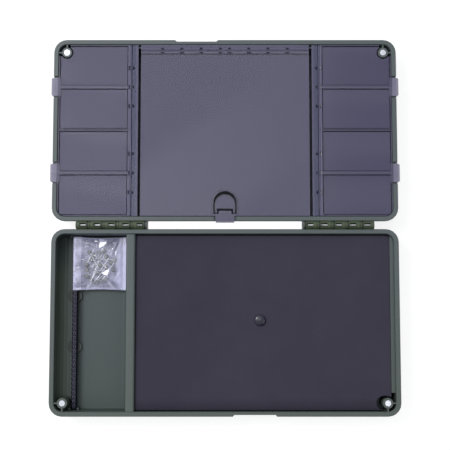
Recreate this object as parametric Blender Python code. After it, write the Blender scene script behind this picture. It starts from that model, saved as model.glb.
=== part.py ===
"""A fishing rig box, laid open flat.

The base half lies towards -Y and holds a foam rig board, a hook rack and a bag of ball-headed rig pins. The lid half
lies towards +Y, and its compartments close under smoked covers that clip to hinge strips. The hinge line of the box
runs along X, above the origin, at the height where the two rims meet when the box is shut.
"""

import math
import random

import bmesh
import bpy
from mathutils import Vector

# Both moulded halves. Depth runs away from the hinge line, and v is the distance from it.
BOX_WIDTH = 0.360
HALF_DEPTH = 0.192
AXIS_HEIGHT = 0.030
RIM_GAP = 0.0003
HINGE_SETBACK = 0.0042
CORNER_RADIUS = 0.0135
CORNER_LEAST = 0.001
RIM_WIDTH = 0.0049
RIM_DROP = 0.004
RIM_ROUND = 0.0006
WALL = 0.002
FLOOR = 0.002
DRAFT = 0.0008
FOOT_ROUND = 0.0025
INNER_ROUND = 0.001
FIT_GAP = 0.0003
WALL_BITE = 0.0003
OVERRUN = 0.001
CORNER_STEPS = 5
ROUND_STEPS = 3

# Thumb recess in each front rim, and where its middle lies along the rim
THUMB_LENGTH = 0.0455
THUMB_DEPTH = 0.0018
THUMB_SLOPE = 0.0018
LID_THUMB_X = -0.030
BASE_THUMB_X = 0.0306

# Box hinges
HINGE_INSET = 0.0624
HINGE_LENGTH = 0.0741
KNUCKLE_COUNT = 5
KNUCKLE_GAP = 0.0004
KNUCKLE_SIDES = 12
KNUCKLE_FOOT = 0.0005
BORE_RADIUS = 0.0012
BORE_SIDES = 8
PIN_RADIUS = 0.0009
PIN_SHORT_SHARE = 0.66
WINDOW_LENGTH = 0.0067
WINDOW_WIDTH = 0.0033
WINDOW_DEPTH_SHARE = 0.62

# Magnets and the bosses that hold them
MAGNET_RADIUS = 0.0031
MAGNET_HEIGHT = 0.003
MAGNET_SINK = 0.0002
BOSS_RADIUS = 0.0053
BOSS_DROP = 0.0004
BOSS_RIB = 0.0014
BOSS_RIB_DROP = 0.001
ROUND_SIDES = 18

# Base compartments
HOOK_BAY_WIDTH = 0.0725
DIVIDER_WIDTH = 0.0098
DIVIDER_DROP = 0.002
DIVIDER_ROUND = 0.002
DIVIDER_CORE_INSET = 0.010
OUTER_COVE = 0.013
INNER_COVE = 0.006
LEDGE_WIDTH = 0.004
LEDGE_DROP = 0.006
LEDGE_STOP = 0.005

# Hook rack, its guides on the end walls and the two saddles that steady it
RACK_INSET = 0.0181
RACK_HEIGHT = 0.010
RACK_WEB = 0.004
RACK_HEAD = 0.003
RACK_LOBE = 0.0064
RACK_NECK = 0.0048
RACK_PITCH = 0.0047
RACK_HOLE = 0.0011
RACK_HOLE_DEPTH = 0.002
RACK_END_GAP = 0.0005
RACK_WEB_INSET = 0.001
GUIDE_WIDTH = 0.0018
GUIDE_LENGTH = 0.002
SADDLE_RADIUS = 0.0065
SADDLE_HEIGHT = 0.004
SADDLE_SHARES = (0.35, 0.64)

# Rig board with its stud
BOARD_THICKNESS = 0.0215
BOARD_GAP = 0.0004
BOARD_CORNER = 0.0015
BOARD_WALL_CORNER = 0.0035
BOARD_BOSS_GAP = 0.0021
BOARD_NOTCH_REACH = 0.0039
STUD_SHARES = (0.489, 0.49)
STUD_RADIUS = 0.006
STUD_RISE = 0.0026
STUD_STEM = 0.0018
WASHER_RADIUS = 0.0055
WASHER_THICKNESS = 0.001

# Lid compartments
CELL_COUNT = 4
CELL_WALL = 0.0016
LONG_WALL = 0.0018
CROSS_WALL_DROP = 0.0002

# Covers and their hinge strips
COVER_DROP = 0.0005
COVER_THICKNESS = 0.0022
COVER_EDGE_GAP = 0.0006
COVER_SPLIT = 0.0006
COVER_BOSS_GAP = 0.0013
COVER_CORNER_SHARE = 0.57
PANEL_BORDER = 0.0009
PANEL_DEPTH = 0.0011
PANEL_SLOPE = 0.0009
PANEL_BAR = 0.0034
SIDE_COVER_SPAN = 0.0762
CENTRE_SIDE_GAP = 0.0027
ROD_RADIUS = 0.0011
ROD_SIDES = 8
ROD_WEB = 0.001
ROD_REACH = 0.0021
STRIP_PLATE = 0.0011
STRIP_RIDGE_RISE = 0.0005
STRIP_RIDGE_WIDTH = 0.0022
STRIP_LEG = 0.0011
STRIP_LEG_DROP = 0.003
SIDE_STRIP_BAND = 0.0018
FRONT_STRIP_BAND = 0.0006
FRONT_STRIP_GAP = 0.0004
HOOK_LENGTH = 0.004
HOOK_WALL = 0.0008
HOOK_STEPS = 5
HOOK_MOUTH_ANGLE = 140
SIDE_HOOK_SHARES = (-0.223, 0, 0.223)
FRONT_HOOK_SHARES = (0.054, 0.284, 0.514, 0.743)
SLOT_LENGTH = 0.003
SLOT_WIDTH = 0.0014

# Latch tabs, which pass through notches in the lid's rim
TAB_WIDTH = 0.0193
CENTRE_TAB_WIDTH = 0.0196
TAB_GAP = 0.002
LIP_GAP = 0.0004
SIDE_LIP = 0.0018
CENTRE_LIP = 0.0011
LIP_HEIGHT = 0.0046
LIP_CORNER = 0.0012

# D-shaped pull of the centre cover
PULL_HALF_WIDTH = 0.0109
PULL_LENGTH = 0.0203
PULL_THICKNESS = 0.0017
PULL_SIDE_GAP = 0.0013
PULL_FINGER_GAP = 0.0033
PULL_LEG_WIDTH = 0.0026
PULL_LEG_LENGTH = 0.0052
PULL_LEG_RADIUS = 0.0012
PULL_PIVOT_RADIUS = 0.0006
PULL_PIVOT_REACH = 0.0010
PULL_COLLAR = 0.002
PULL_COLLAR_DEPTH = 0.0032
PULL_FRAME = 0.002
TONGUE_WIDTH = 0.013
TONGUE_LENGTH = 0.0032
TONGUE_ROOT_SHARE = 0.7
ARCH_STEPS = 12

# Bag of rig pins. The shares are each head's place across and along the swollen part, the headings are degrees.
BAG_SIZE = 0.056
BAG_FILM = 0.0004
BAG_BULGE_SHARE = 1.8
BAG_MOUTH = 0.0006
BAG_HEM = 0.0008
BAG_BAND = 0.006
BAG_REAR_GAP = 0.001
BAG_DROP_SHARE = 0.1
BAG_CREASE = 0.0004
BAG_STEPS = 9
BAG_SEED = 5
RIG_PIN_HEAD = 0.0025
RIG_PIN_SHAFT = 0.00035
RIG_PIN_LENGTH = 0.022
RIG_PIN_GAP = 0.0003
RIG_PIN_TILT = 0.005
RIG_PIN_SHIFT = 0.003
RIG_PIN_SPREAD = 150
RIG_PIN_SEED = 2
RIG_PIN_TRIES = 1500
RIG_PIN_SIDES = 8
RIG_PIN_SHARES = (
    (0.19, 0.29), (0.31, 0.34), (0.43, 0.29), (0.55, 0.26), (0.61, 0.36), (0.72, 0.48), (0.84, 0.43),
    (0.80, 0.61), (0.60, 0.56), (0.44, 0.53), (0.23, 0.42), (0.12, 0.52), (0.13, 0.62), (0.13, 0.74),
    (0.23, 0.81), (0.36, 0.85), (0.49, 0.83), (0.61, 0.80), (0.11, 0.34), (0.41, 0.68),
)
RIG_PIN_HEADINGS = (
    -45, -46, -118, -120, -140, -165, -160, -175, -130, -112,
    -100, 65, 60, 55, 62, 70, 100, 120, -80, 65,
)

# Places worked out from the sizes above
RIM_Z = AXIS_HEIGHT - RIM_GAP / 2
FRONT_V = HINGE_SETBACK + HALF_DEPTH
HALF_WIDTH = BOX_WIDTH / 2
INNER_X = HALF_WIDTH - RIM_WIDTH
REAR_INNER_V = HINGE_SETBACK + RIM_WIDTH
FRONT_INNER_V = FRONT_V - RIM_WIDTH
BOSS_X = HALF_WIDTH - CORNER_RADIUS
BOSS_V = FRONT_V - CORNER_RADIUS
BOSS_TOP = RIM_Z - BOSS_DROP
MAGNET_TOP = BOSS_TOP - MAGNET_SINK
KNUCKLE_RADIUS = HINGE_SETBACK - FIT_GAP
KNUCKLE_PITCH = HINGE_LENGTH / KNUCKLE_COUNT
HINGE_MIDDLE_X = HALF_WIDTH - HINGE_INSET
DIVIDER_X = HOOK_BAY_WIDTH + DIVIDER_WIDTH / 2 - INNER_X
RACK_X = RACK_INSET - INNER_X
COVER_TOP = RIM_Z - COVER_DROP
COVER_BOTTOM = COVER_TOP - COVER_THICKNESS
ROD_Z = COVER_TOP - ROD_RADIUS
WALL_TOP = min(COVER_BOTTOM, ROD_Z - ROD_RADIUS) - FIT_GAP
STRIP_SADDLE = ROD_RADIUS + 3 * FIT_GAP + 2 * STRIP_LEG + LONG_WALL
SIDE_STRIP_REACH = STRIP_SADDLE + SIDE_STRIP_BAND
FRONT_STRIP_REACH = STRIP_SADDLE + FRONT_STRIP_BAND
SIDE_HINGE_X = INNER_X - SIDE_COVER_SPAN
CENTRE_HALF_WIDTH = SIDE_HINGE_X - SIDE_STRIP_REACH - CENTRE_SIDE_GAP
FRONT_HINGE_V = FRONT_INNER_V - FRONT_STRIP_GAP - FRONT_STRIP_REACH
SIDE_WALL_X = SIDE_HINGE_X - SIDE_STRIP_REACH + STRIP_LEG + FIT_GAP + LONG_WALL / 2
FRONT_WALL_V = FRONT_HINGE_V + FRONT_STRIP_REACH - STRIP_LEG - FIT_GAP - LONG_WALL / 2
CELL_PITCH = (FRONT_INNER_V - REAR_INNER_V) / CELL_COUNT
COVER_MIDDLES = (REAR_INNER_V + CELL_PITCH, FRONT_INNER_V - CELL_PITCH)
NOTCH_Z = COVER_BOTTOM - FIT_GAP
BOARD_BOTTOM = FLOOR + FIT_GAP
BOARD_TOP = BOARD_BOTTOM + BOARD_THICKNESS
BOARD_LEFT = DIVIDER_X + DIVIDER_WIDTH / 2 + BOARD_GAP
BOARD_RIGHT = INNER_X - LEDGE_WIDTH - BOARD_GAP
BOARD_REAR = REAR_INNER_V + DRAFT + INNER_ROUND / 2
BOARD_FRONT = FRONT_INNER_V - DRAFT - INNER_ROUND / 2
STUD_X = BOARD_LEFT + (BOARD_RIGHT - BOARD_LEFT) * STUD_SHARES[0]
STUD_V = BOARD_REAR + (BOARD_FRONT - BOARD_REAR) * STUD_SHARES[1]
RACK_TOP = FLOOR + FIT_GAP + RACK_HEIGHT
PIVOT_V = REAR_INNER_V + COVER_EDGE_GAP + PULL_FRAME + FIT_GAP + PULL_LEG_RADIUS
PIVOT_Z = COVER_TOP - PULL_LEG_RADIUS
BAG_BULGE = RIG_PIN_HEAD * BAG_BULGE_SHARE


def clear_scene():
    for obj in list(bpy.data.objects):
        bpy.data.objects.remove(obj, do_unlink=True)


def plastic(name, colour, roughness, metallic=0.0):
    """A plain Principled material."""
    material = bpy.data.materials.new(name)
    material.use_nodes = True
    shader = material.node_tree.nodes["Principled BSDF"]
    shader.inputs["Base Color"].default_value = (*colour, 1)
    shader.inputs["Roughness"].default_value = roughness
    shader.inputs["Metallic"].default_value = metallic
    material.diffuse_color = (*colour, 1)
    return material


def finish_mesh(mesh, name):
    """Faces turned outwards, in a new object in the scene."""
    bmesh.ops.recalc_face_normals(mesh, faces=mesh.faces)
    data = bpy.data.meshes.new(name)
    mesh.to_mesh(data)
    mesh.free()
    obj = bpy.data.objects.new(name, data)
    bpy.context.scene.collection.objects.link(obj)
    return obj


def loft(rings, name):
    """A closed body through rings of equally many points, with flat ends."""
    mesh = bmesh.new()
    rows = [[mesh.verts.new(point) for point in ring] for ring in rings]
    for below, above in zip(rows, rows[1:]):
        for i in range(len(below)):
            j = (i + 1) % len(below)
            mesh.faces.new((below[i], below[j], above[j], above[i]))
    mesh.faces.new(rows[0])
    mesh.faces.new(rows[-1])
    return finish_mesh(mesh, name)


def prism(outline, axis, low, high, name="prism"):
    """A flat outline carried along one axis. The outline's pairs are the two other axes, in order."""
    place = {
        "x": lambda a, b, t: (t, a, b),
        "y": lambda a, b, t: (a, t, b),
        "z": lambda a, b, t: (a, b, t),
    }[axis]
    return loft([[place(a, b, t) for a, b in outline] for t in (low, high)], name)


def box(x, y, z, name="box"):
    """A block between pairs of bounds, given in any order."""
    (x0, x1), (y0, y1), (z0, z1) = sorted(x), sorted(y), sorted(z)
    return prism([(x0, y0), (x1, y0), (x1, y1), (x0, y1)], "z", z0, z1, name)


def circle(centre, radius, sides, start=0.0):
    turn = 2 * math.pi / sides
    return [
        (
            centre[0] + radius * math.cos(start + turn * i),
            centre[1] + radius * math.sin(start + turn * i),
        )
        for i in range(sides)
    ]


def arc(centre, radius, start, end, steps):
    """Points along an arc, with both ends, from one angle in degrees to another."""
    angles = [math.radians(start + (end - start) * i / steps) for i in range(steps + 1)]
    return [(centre[0] + radius * math.cos(a), centre[1] + radius * math.sin(a)) for a in angles]


def combine(body, tool, operation):
    """One Boolean, applied at once, after which the tool is gone."""
    modifier = body.modifiers.new("combine", "BOOLEAN")
    modifier.operation = operation
    modifier.object = tool
    graph = bpy.context.evaluated_depsgraph_get()
    joined = bpy.data.meshes.new_from_object(body.evaluated_get(graph))
    body.modifiers.clear()
    body.data = joined
    bpy.data.objects.remove(tool, do_unlink=True)
    return body


def fuse(body, *tools):
    for tool in tools:
        combine(body, tool, "UNION")
    return body


def cut(body, *tools):
    for tool in tools:
        combine(body, tool, "DIFFERENCE")
    return body


def publish(obj, name, material, pivot, parent=None, smooth_angle=35):
    """Names a finished piece, puts its origin on its pivot and hangs it on its parent's empty."""
    pivot = Vector(pivot)
    obj.name = name
    obj.data.name = name
    obj.data.transform(obj.matrix_world)
    obj.matrix_world.identity()
    for vertex in obj.data.vertices:
        vertex.co -= pivot
    obj.location = pivot
    if parent:
        obj.parent = parent
        obj.location = pivot - parent_place(parent)
    obj.data.materials.clear()
    obj.data.materials.append(material)
    obj.data.shade_smooth()
    obj.data.set_sharp_from_angle(angle=math.radians(smooth_angle))
    return obj


def parent_place(parent):
    """Where an empty stands in the world, before the scene has been evaluated."""
    place = parent.location.copy()
    return place + parent_place(parent.parent) if parent.parent else place


def pivot_empty(name, place, parent=None):
    empty = bpy.data.objects.new(name, None)
    bpy.context.scene.collection.objects.link(empty)
    empty.location = Vector(place)
    if parent:
        empty.location -= parent_place(parent)
        empty.parent = parent
    return empty


def corner_radius(inset):
    return max(CORNER_RADIUS - inset, CORNER_LEAST)


def half_outline(inset, side):
    """The rounded outline of one half, moved inwards. side is +1 for the lid and -1 for the base."""
    radius = corner_radius(inset)
    x = HALF_WIDTH - inset - radius
    rear = HINGE_SETBACK + inset + radius
    front = FRONT_V - inset - radius
    corners = ((x, rear, -90), (x, front, 0), (-x, front, 90), (-x, rear, 180))
    points = []
    for cx, cv, start in corners:
        points += arc((cx, cv), radius, start, start + 90, CORNER_STEPS)
    return [(px, side * pv) for px, pv in points]


def ring(inset, z, side):
    return [(x, y, z) for x, y in half_outline(inset, side)]


def cavity_profile(grow):
    """Inset and height down the inside of a half, for its cavity or for one that is a little larger."""
    profile = [(RIM_WIDTH, RIM_Z - RIM_ROUND), (RIM_WIDTH + DRAFT, FLOOR + INNER_ROUND)]
    centre = (RIM_WIDTH + DRAFT + INNER_ROUND, FLOOR + INNER_ROUND)
    profile += arc(centre, INNER_ROUND, 180, 270, ROUND_STEPS)[1:]
    return [(inset - grow, z - grow) for inset, z in profile]


def half_shell(side, name):
    """Floor, drafted wall and rim flange of one half."""
    wall_inset = RIM_WIDTH - WALL
    centre = (wall_inset + DRAFT + FOOT_ROUND, FOOT_ROUND)
    outside = arc(centre, FOOT_ROUND, 270, 180, ROUND_STEPS)
    outside += [(wall_inset, RIM_Z - RIM_DROP), (0, RIM_Z - RIM_DROP), (0, RIM_Z - RIM_ROUND)]
    over_rim = [(RIM_ROUND, RIM_Z), (RIM_WIDTH - RIM_ROUND, RIM_Z)]
    return loft([ring(i, z, side) for i, z in outside + over_rim + cavity_profile(0)], name)


def cavity_plug(side):
    """What trims the inner walls, so that they bite into the shell and never pass through it."""
    profile = cavity_profile(WALL_BITE)
    rings = [ring(profile[0][0], RIM_Z + OVERRUN, side)]
    return loft(rings + [ring(i, z, side) for i, z in profile], "plug")


def magnet_boss(x, side):
    """A round boss with ribs to the side wall and the front wall."""
    y = side * BOSS_V
    across = (x, math.copysign(HALF_WIDTH, x))
    rib_z = (0, RIM_Z - BOSS_RIB_DROP)
    boss = prism(circle((x, y), BOSS_RADIUS, ROUND_SIDES), "z", 0, BOSS_TOP)
    side_rib = box(across, (y - BOSS_RIB / 2, y + BOSS_RIB / 2), rib_z)
    front_rib = box((x - BOSS_RIB / 2, x + BOSS_RIB / 2), (y, side * FRONT_V), rib_z)
    return fuse(boss, side_rib, front_rib)


def knuckle(side, middle, index):
    """One knuckle about the hinge line, with the web that ties it to the rear rim."""
    start = middle - HINGE_LENGTH / 2 + KNUCKLE_PITCH * index + KNUCKLE_GAP / 2
    end = start + KNUCKLE_PITCH - KNUCKLE_GAP
    barrel = prism(circle((0, AXIS_HEIGHT), KNUCKLE_RADIUS, KNUCKLE_SIDES), "x", start, end)
    web_y = (side * KNUCKLE_RADIUS / 2, side * (HINGE_SETBACK + RIM_WIDTH / 2))
    web_z = (AXIS_HEIGHT - KNUCKLE_RADIUS + KNUCKLE_FOOT, RIM_Z - RIM_ROUND)
    return fuse(barrel, box((start, end), web_y, web_z))


def knuckle_window(middle, index):
    """The pocket in a knuckle's top that shows the pin."""
    x = middle - HINGE_LENGTH / 2 + KNUCKLE_PITCH * (index + 0.5)
    low = AXIS_HEIGHT - KNUCKLE_RADIUS * WINDOW_DEPTH_SHARE
    return box(
        (x - WINDOW_LENGTH / 2, x + WINDOW_LENGTH / 2),
        (-WINDOW_WIDTH / 2, WINDOW_WIDTH / 2),
        (low, AXIS_HEIGHT + KNUCKLE_RADIUS + OVERRUN),
    )


def add_hinges(shell, side, indices):
    """The knuckles of both box hinges that belong to one half, bored and windowed."""
    for middle in (-HINGE_MIDDLE_X, HINGE_MIDDLE_X):
        fuse(shell, *[knuckle(side, middle, i) for i in indices])
        half = HINGE_LENGTH / 2 + OVERRUN
        bore = circle((0, AXIS_HEIGHT), BORE_RADIUS, BORE_SIDES, math.pi / BORE_SIDES)
        cut(shell, prism(bore, "x", middle - half, middle + half))
        cut(shell, *[knuckle_window(middle, i) for i in indices])
    return shell


def thumb_recess(middle, side):
    """A shallow bay with sloping ends, cut down the front of the rim."""
    half = THUMB_LENGTH / 2
    outer = side * (FRONT_V + OVERRUN)
    inner = side * (FRONT_V - THUMB_DEPTH)
    outline = [
        (middle - half - THUMB_SLOPE, outer), (middle - half, side * FRONT_V),
        (middle - half + THUMB_SLOPE, inner), (middle + half - THUMB_SLOPE, inner),
        (middle + half, side * FRONT_V), (middle + half + THUMB_SLOPE, outer),
    ]
    return prism(outline, "z", RIM_Z - RIM_DROP - OVERRUN, RIM_Z + OVERRUN)


def magnet_pocket(x, side):
    pocket = circle((x, side * BOSS_V), MAGNET_RADIUS + FIT_GAP, ROUND_SIDES)
    return prism(pocket, "z", MAGNET_TOP - MAGNET_HEIGHT - FIT_GAP, BOSS_TOP + OVERRUN)


def assemble_half(side, name, inner_walls, knuckles, thumb_x):
    """A shell with its inner walls trimmed into it, its hinge knuckles, thumb recess and magnet pockets."""
    inside = magnet_boss(-BOSS_X, side)
    fuse(inside, magnet_boss(BOSS_X, side), *inner_walls)
    combine(inside, cavity_plug(side), "INTERSECT")
    shell = fuse(half_shell(side, name), inside)
    add_hinges(shell, side, knuckles)
    cut(shell, thumb_recess(thumb_x, side))
    return cut(shell, *[magnet_pocket(x, side) for x in (-BOSS_X, BOSS_X)])


def divider():
    """The rounded bar between the hook compartment and the board's bay."""
    left, right = DIVIDER_X - DIVIDER_WIDTH / 2, DIVIDER_X + DIVIDER_WIDTH / 2
    top = RIM_Z - DIVIDER_DROP
    r = DIVIDER_ROUND
    outline = [(left, 0), (right, 0)]
    outline += arc((right - r, top - r), r, 0, 90, ROUND_STEPS)
    outline += arc((left + r, top - r), r, 90, 180, ROUND_STEPS)
    return prism(outline, "y", -FRONT_V, -HINGE_SETBACK)


def divider_core():
    """The slot up into the divider from below, which leaves an even wall."""
    half = DIVIDER_WIDTH / 2 - WALL
    length = (-HINGE_SETBACK - DIVIDER_CORE_INSET, -FRONT_V + DIVIDER_CORE_INSET)
    top = RIM_Z - DIVIDER_DROP - FLOOR
    return box((DIVIDER_X - half, DIVIDER_X + half), length, (-OVERRUN, top))


def cove(corner_x, radius, facing):
    """A hollow fillet along the foot of a wall, where facing is the way that the wall looks."""
    centre = (corner_x + facing * radius, FLOOR + radius - WALL_BITE / 2)
    start, end = (270, 180) if facing > 0 else (270, 360)
    outline = [(corner_x, 0), (centre[0], 0)]
    outline += arc(centre, radius, start, end, CORNER_STEPS)
    outline.append((corner_x - facing * WALL_BITE, centre[1]))
    outline.append((corner_x - facing * WALL_BITE, 0))
    return prism(outline[1:], "y", -FRONT_V, -HINGE_SETBACK)


def rack_guide(x, end_v, inwards):
    """A small rib that stands out of an end wall beside the rack's head."""
    y = (-end_v + inwards * WALL, -end_v - inwards * GUIDE_LENGTH)
    return box((x - GUIDE_WIDTH / 2, x + GUIDE_WIDTH / 2), y, (0, RACK_TOP))


def rack_guides():
    """Pairs of guide ribs on the rear wall and the front wall."""
    reach = RACK_LOBE / 2 + FIT_GAP + GUIDE_WIDTH / 2
    ends = ((REAR_INNER_V + DRAFT, 1), (FRONT_INNER_V - DRAFT, -1))
    return [
        rack_guide(RACK_X + way * reach, end_v, inwards)
        for end_v, inwards in ends
        for way in (-1, 1)
    ]


def saddle(share):
    """A low round pad with a slot for the rack's web."""
    y = -(REAR_INNER_V + (FRONT_INNER_V - REAR_INNER_V) * share)
    pad = prism(circle((RACK_X, y), SADDLE_RADIUS, ROUND_SIDES), "z", 0, FLOOR + SADDLE_HEIGHT)
    half = RACK_WEB / 2 + FIT_GAP
    reach = SADDLE_RADIUS + OVERRUN
    slot_z = (FLOOR, FLOOR + SADDLE_HEIGHT + OVERRUN)
    return cut(pad, box((RACK_X - half, RACK_X + half), (y - reach, y + reach), slot_z))


def board_ledge():
    """The step along the right wall, beside the board."""
    x = (INNER_X - LEDGE_WIDTH, HALF_WIDTH)
    y = (-HINGE_SETBACK, -(BOSS_V - BOSS_RADIUS - LEDGE_STOP))
    return box(x, y, (0, RIM_Z - LEDGE_DROP))


def base_tray():
    left_wall = -(INNER_X - WALL_BITE)
    inner_walls = [
        cove(left_wall, OUTER_COVE, 1),
        cove(DIVIDER_X - DIVIDER_WIDTH / 2 + WALL_BITE, INNER_COVE, -1),
        divider(), board_ledge(), *[saddle(share) for share in SADDLE_SHARES], *rack_guides(),
    ]
    base_knuckles = range(0, KNUCKLE_COUNT, 2)
    tray = assemble_half(-1, "base_tray", inner_walls, base_knuckles, BASE_THUMB_X)
    return cut(tray, divider_core())


def lid_walls():
    """The long walls under the hinge strips and the short walls between the small compartments."""
    walls = []
    for way in (-1, 1):
        x = way * SIDE_WALL_X
        long_x = (x - LONG_WALL / 2, x + LONG_WALL / 2)
        walls.append(box(long_x, (HINGE_SETBACK, FRONT_V), (0, WALL_TOP)))
        for i in range(1, CELL_COUNT):
            v = REAR_INNER_V + CELL_PITCH * i
            short_v = (v - CELL_WALL / 2, v + CELL_WALL / 2)
            walls.append(box((x, way * HALF_WIDTH), short_v, (0, WALL_TOP - CROSS_WALL_DROP)))
    front = (FRONT_WALL_V - LONG_WALL / 2, FRONT_WALL_V + LONG_WALL / 2)
    walls.append(box((-SIDE_WALL_X, SIDE_WALL_X), front, (0, WALL_TOP - CROSS_WALL_DROP)))
    return walls


def tab_notches():
    """The notches in the lid's rim that the latch tabs pass through."""
    z = (NOTCH_Z, RIM_Z + OVERRUN)
    half = TAB_WIDTH / 2 + TAB_GAP
    notches = [
        box((way * (HALF_WIDTH + OVERRUN), way * (INNER_X - DRAFT)), (v - half, v + half), z)
        for way in (-1, 1)
        for v in COVER_MIDDLES
    ]
    half = CENTRE_TAB_WIDTH / 2 + TAB_GAP
    rear = (HINGE_SETBACK - OVERRUN, REAR_INNER_V + DRAFT)
    return notches + [box((-half, half), rear, z)]


def lid_shell():
    lid_knuckles = range(1, KNUCKLE_COUNT, 2)
    shell = assemble_half(1, "lid_shell", lid_walls(), lid_knuckles, LID_THUMB_X)
    return cut(shell, *tab_notches())


def magnet(x, side):
    outline = circle((x, side * BOSS_V), MAGNET_RADIUS, ROUND_SIDES)
    return prism(outline, "z", MAGNET_TOP - MAGNET_HEIGHT, MAGNET_TOP)


def hinge_pin(way):
    """A rod put in from the hinge's outer end, which stops inside the innermost knuckle's window."""
    outer = HINGE_MIDDLE_X + HINGE_LENGTH / 2
    last_window = HINGE_MIDDLE_X - HINGE_LENGTH / 2 + KNUCKLE_PITCH / 2
    inner = last_window + WINDOW_LENGTH * (PIN_SHORT_SHARE - 1)
    outline = circle((0, AXIS_HEIGHT), PIN_RADIUS, BORE_SIDES, math.pi / BORE_SIDES)
    return prism(outline, "x", *sorted((way * outer, way * inner)))


def strip_outline(reach):
    """The section of a hinge strip: a band beside the rod, a ridge, and two legs astride the wall.

    The pairs are the distance beyond the hinge axis and the height.
    """
    near = ROD_RADIUS + FIT_GAP
    wall = reach - STRIP_LEG - FIT_GAP - LONG_WALL / 2
    half = LONG_WALL / 2 + FIT_GAP
    band = COVER_TOP - STRIP_RIDGE_RISE
    under = band - STRIP_PLATE
    foot = WALL_TOP - STRIP_LEG_DROP
    channel = WALL_TOP + FIT_GAP
    step = reach - STRIP_RIDGE_WIDTH
    return [
        (near, under), (near, band), (step, band), (step, COVER_TOP), (reach, COVER_TOP),
        (reach, foot), (wall + half, foot), (wall + half, channel), (wall - half, channel),
        (wall - half, foot), (wall - half - STRIP_LEG, foot), (wall - half - STRIP_LEG, under),
    ]


def hook_outline():
    """A C-shaped clip round the rod, open at the top."""
    inner = ROD_RADIUS + FIT_GAP
    start = 90 - HOOK_MOUTH_ANGLE / 2
    end = start - 360 + HOOK_MOUTH_ANGLE
    outside = arc((0, ROD_Z), inner + HOOK_WALL, start, end, HOOK_STEPS)
    return outside + arc((0, ROD_Z), inner, end, start, HOOK_STEPS)


def hinge_strip(reach, low, high, hooks, axis, place):
    """A strip along y or x, where place turns a distance beyond the hinge axis into a coordinate."""
    strip = prism([(place(d), z) for d, z in strip_outline(reach)], axis, low, high)
    slot_near = ROD_RADIUS + FIT_GAP + HOOK_WALL
    slot = (place(slot_near), place(slot_near + SLOT_WIDTH))
    slot_z = (WALL_TOP - STRIP_LEG_DROP - OVERRUN, COVER_TOP)
    for middle in hooks:
        along = (middle - HOOK_LENGTH / 2, middle + HOOK_LENGTH / 2)
        fuse(strip, prism([(place(d), z) for d, z in hook_outline()], axis, *along))
        window = (middle - SLOT_LENGTH / 2, middle + SLOT_LENGTH / 2)
        bounds = (slot, window) if axis == "y" else (window, slot)
        cut(strip, box(*bounds, slot_z))
    return strip


def side_hooks():
    """Where the clips stand along a side strip: a group in the middle of each cover."""
    return [middle + 2 * CELL_PITCH * share for middle in COVER_MIDDLES for share in SIDE_HOOK_SHARES]


def front_hooks():
    """Where the clips stand along the front strip: a group on each side of the middle."""
    return sorted(way * CENTRE_HALF_WIDTH * share for way in (-1, 1) for share in FRONT_HOOK_SHARES)


def leg_slot(x, v, wall):
    """The room that a strip's leg leaves for a wall which meets the strip's own wall."""
    half = wall / 2 + FIT_GAP
    return box(x, (v - half, v + half), (WALL_TOP - STRIP_LEG_DROP - OVERRUN, WALL_TOP + FIT_GAP))


def side_strip(way):
    rear = REAR_INNER_V + COVER_EDGE_GAP
    front = FRONT_INNER_V - COVER_EDGE_GAP
    strip = hinge_strip(
        SIDE_STRIP_REACH, rear, front, side_hooks(), "y", lambda d: way * (SIDE_HINGE_X - d)
    )
    wall_x = way * SIDE_WALL_X
    outwards, inwards = (wall_x, way * INNER_X), (0, wall_x)
    cell_walls = [REAR_INNER_V + CELL_PITCH * i for i in range(1, CELL_COUNT)]
    cut(strip, *[leg_slot(outwards, v, CELL_WALL) for v in cell_walls])
    return cut(strip, leg_slot(inwards, FRONT_WALL_V, LONG_WALL))


def front_strip():
    half = CENTRE_HALF_WIDTH
    return hinge_strip(
        FRONT_STRIP_REACH, -half, half, front_hooks(), "x", lambda d: FRONT_HINGE_V + d
    )


def lid_opening_block(x, y):
    """The part of the lid's opening, less the gap all round, that lies between the bounds."""
    inset = RIM_WIDTH + COVER_EDGE_GAP
    block = loft([ring(inset, z, 1) for z in (COVER_BOTTOM, COVER_TOP)], "cover")
    return combine(block, box(x, y, (COVER_BOTTOM - OVERRUN, COVER_TOP + OVERRUN)), "INTERSECT")


def recess(x, y):
    """The sunk panel of a cover, wider at the top than at the bottom."""
    (x0, x1), (y0, y1) = sorted(x), sorted(y)

    def rectangle(inset, z):
        return [
            (x0 + inset, y0 + inset, z), (x1 - inset, y0 + inset, z),
            (x1 - inset, y1 - inset, z), (x0 + inset, y1 - inset, z),
        ]

    slope = PANEL_SLOPE / PANEL_DEPTH
    top = rectangle(-slope * OVERRUN, COVER_TOP + OVERRUN)
    return loft([rectangle(PANEL_SLOPE, COVER_TOP - PANEL_DEPTH), top], "recess")


def clip_gaps(hooks, low, high):
    """The stretches of a cover's hinge edge between the clips."""
    half = HOOK_LENGTH / 2 + FIT_GAP
    edges = [low] + [edge for h in hooks for edge in (h - half, h + half)] + [high]
    return list(zip(edges[0::2], edges[1::2]))


def clip_notches(hooks):
    """The room that each clip needs in a cover's hinge edge, along the hinge."""
    half = HOOK_LENGTH / 2 + FIT_GAP
    return [(h - half, h + half) for h in hooks]


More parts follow.
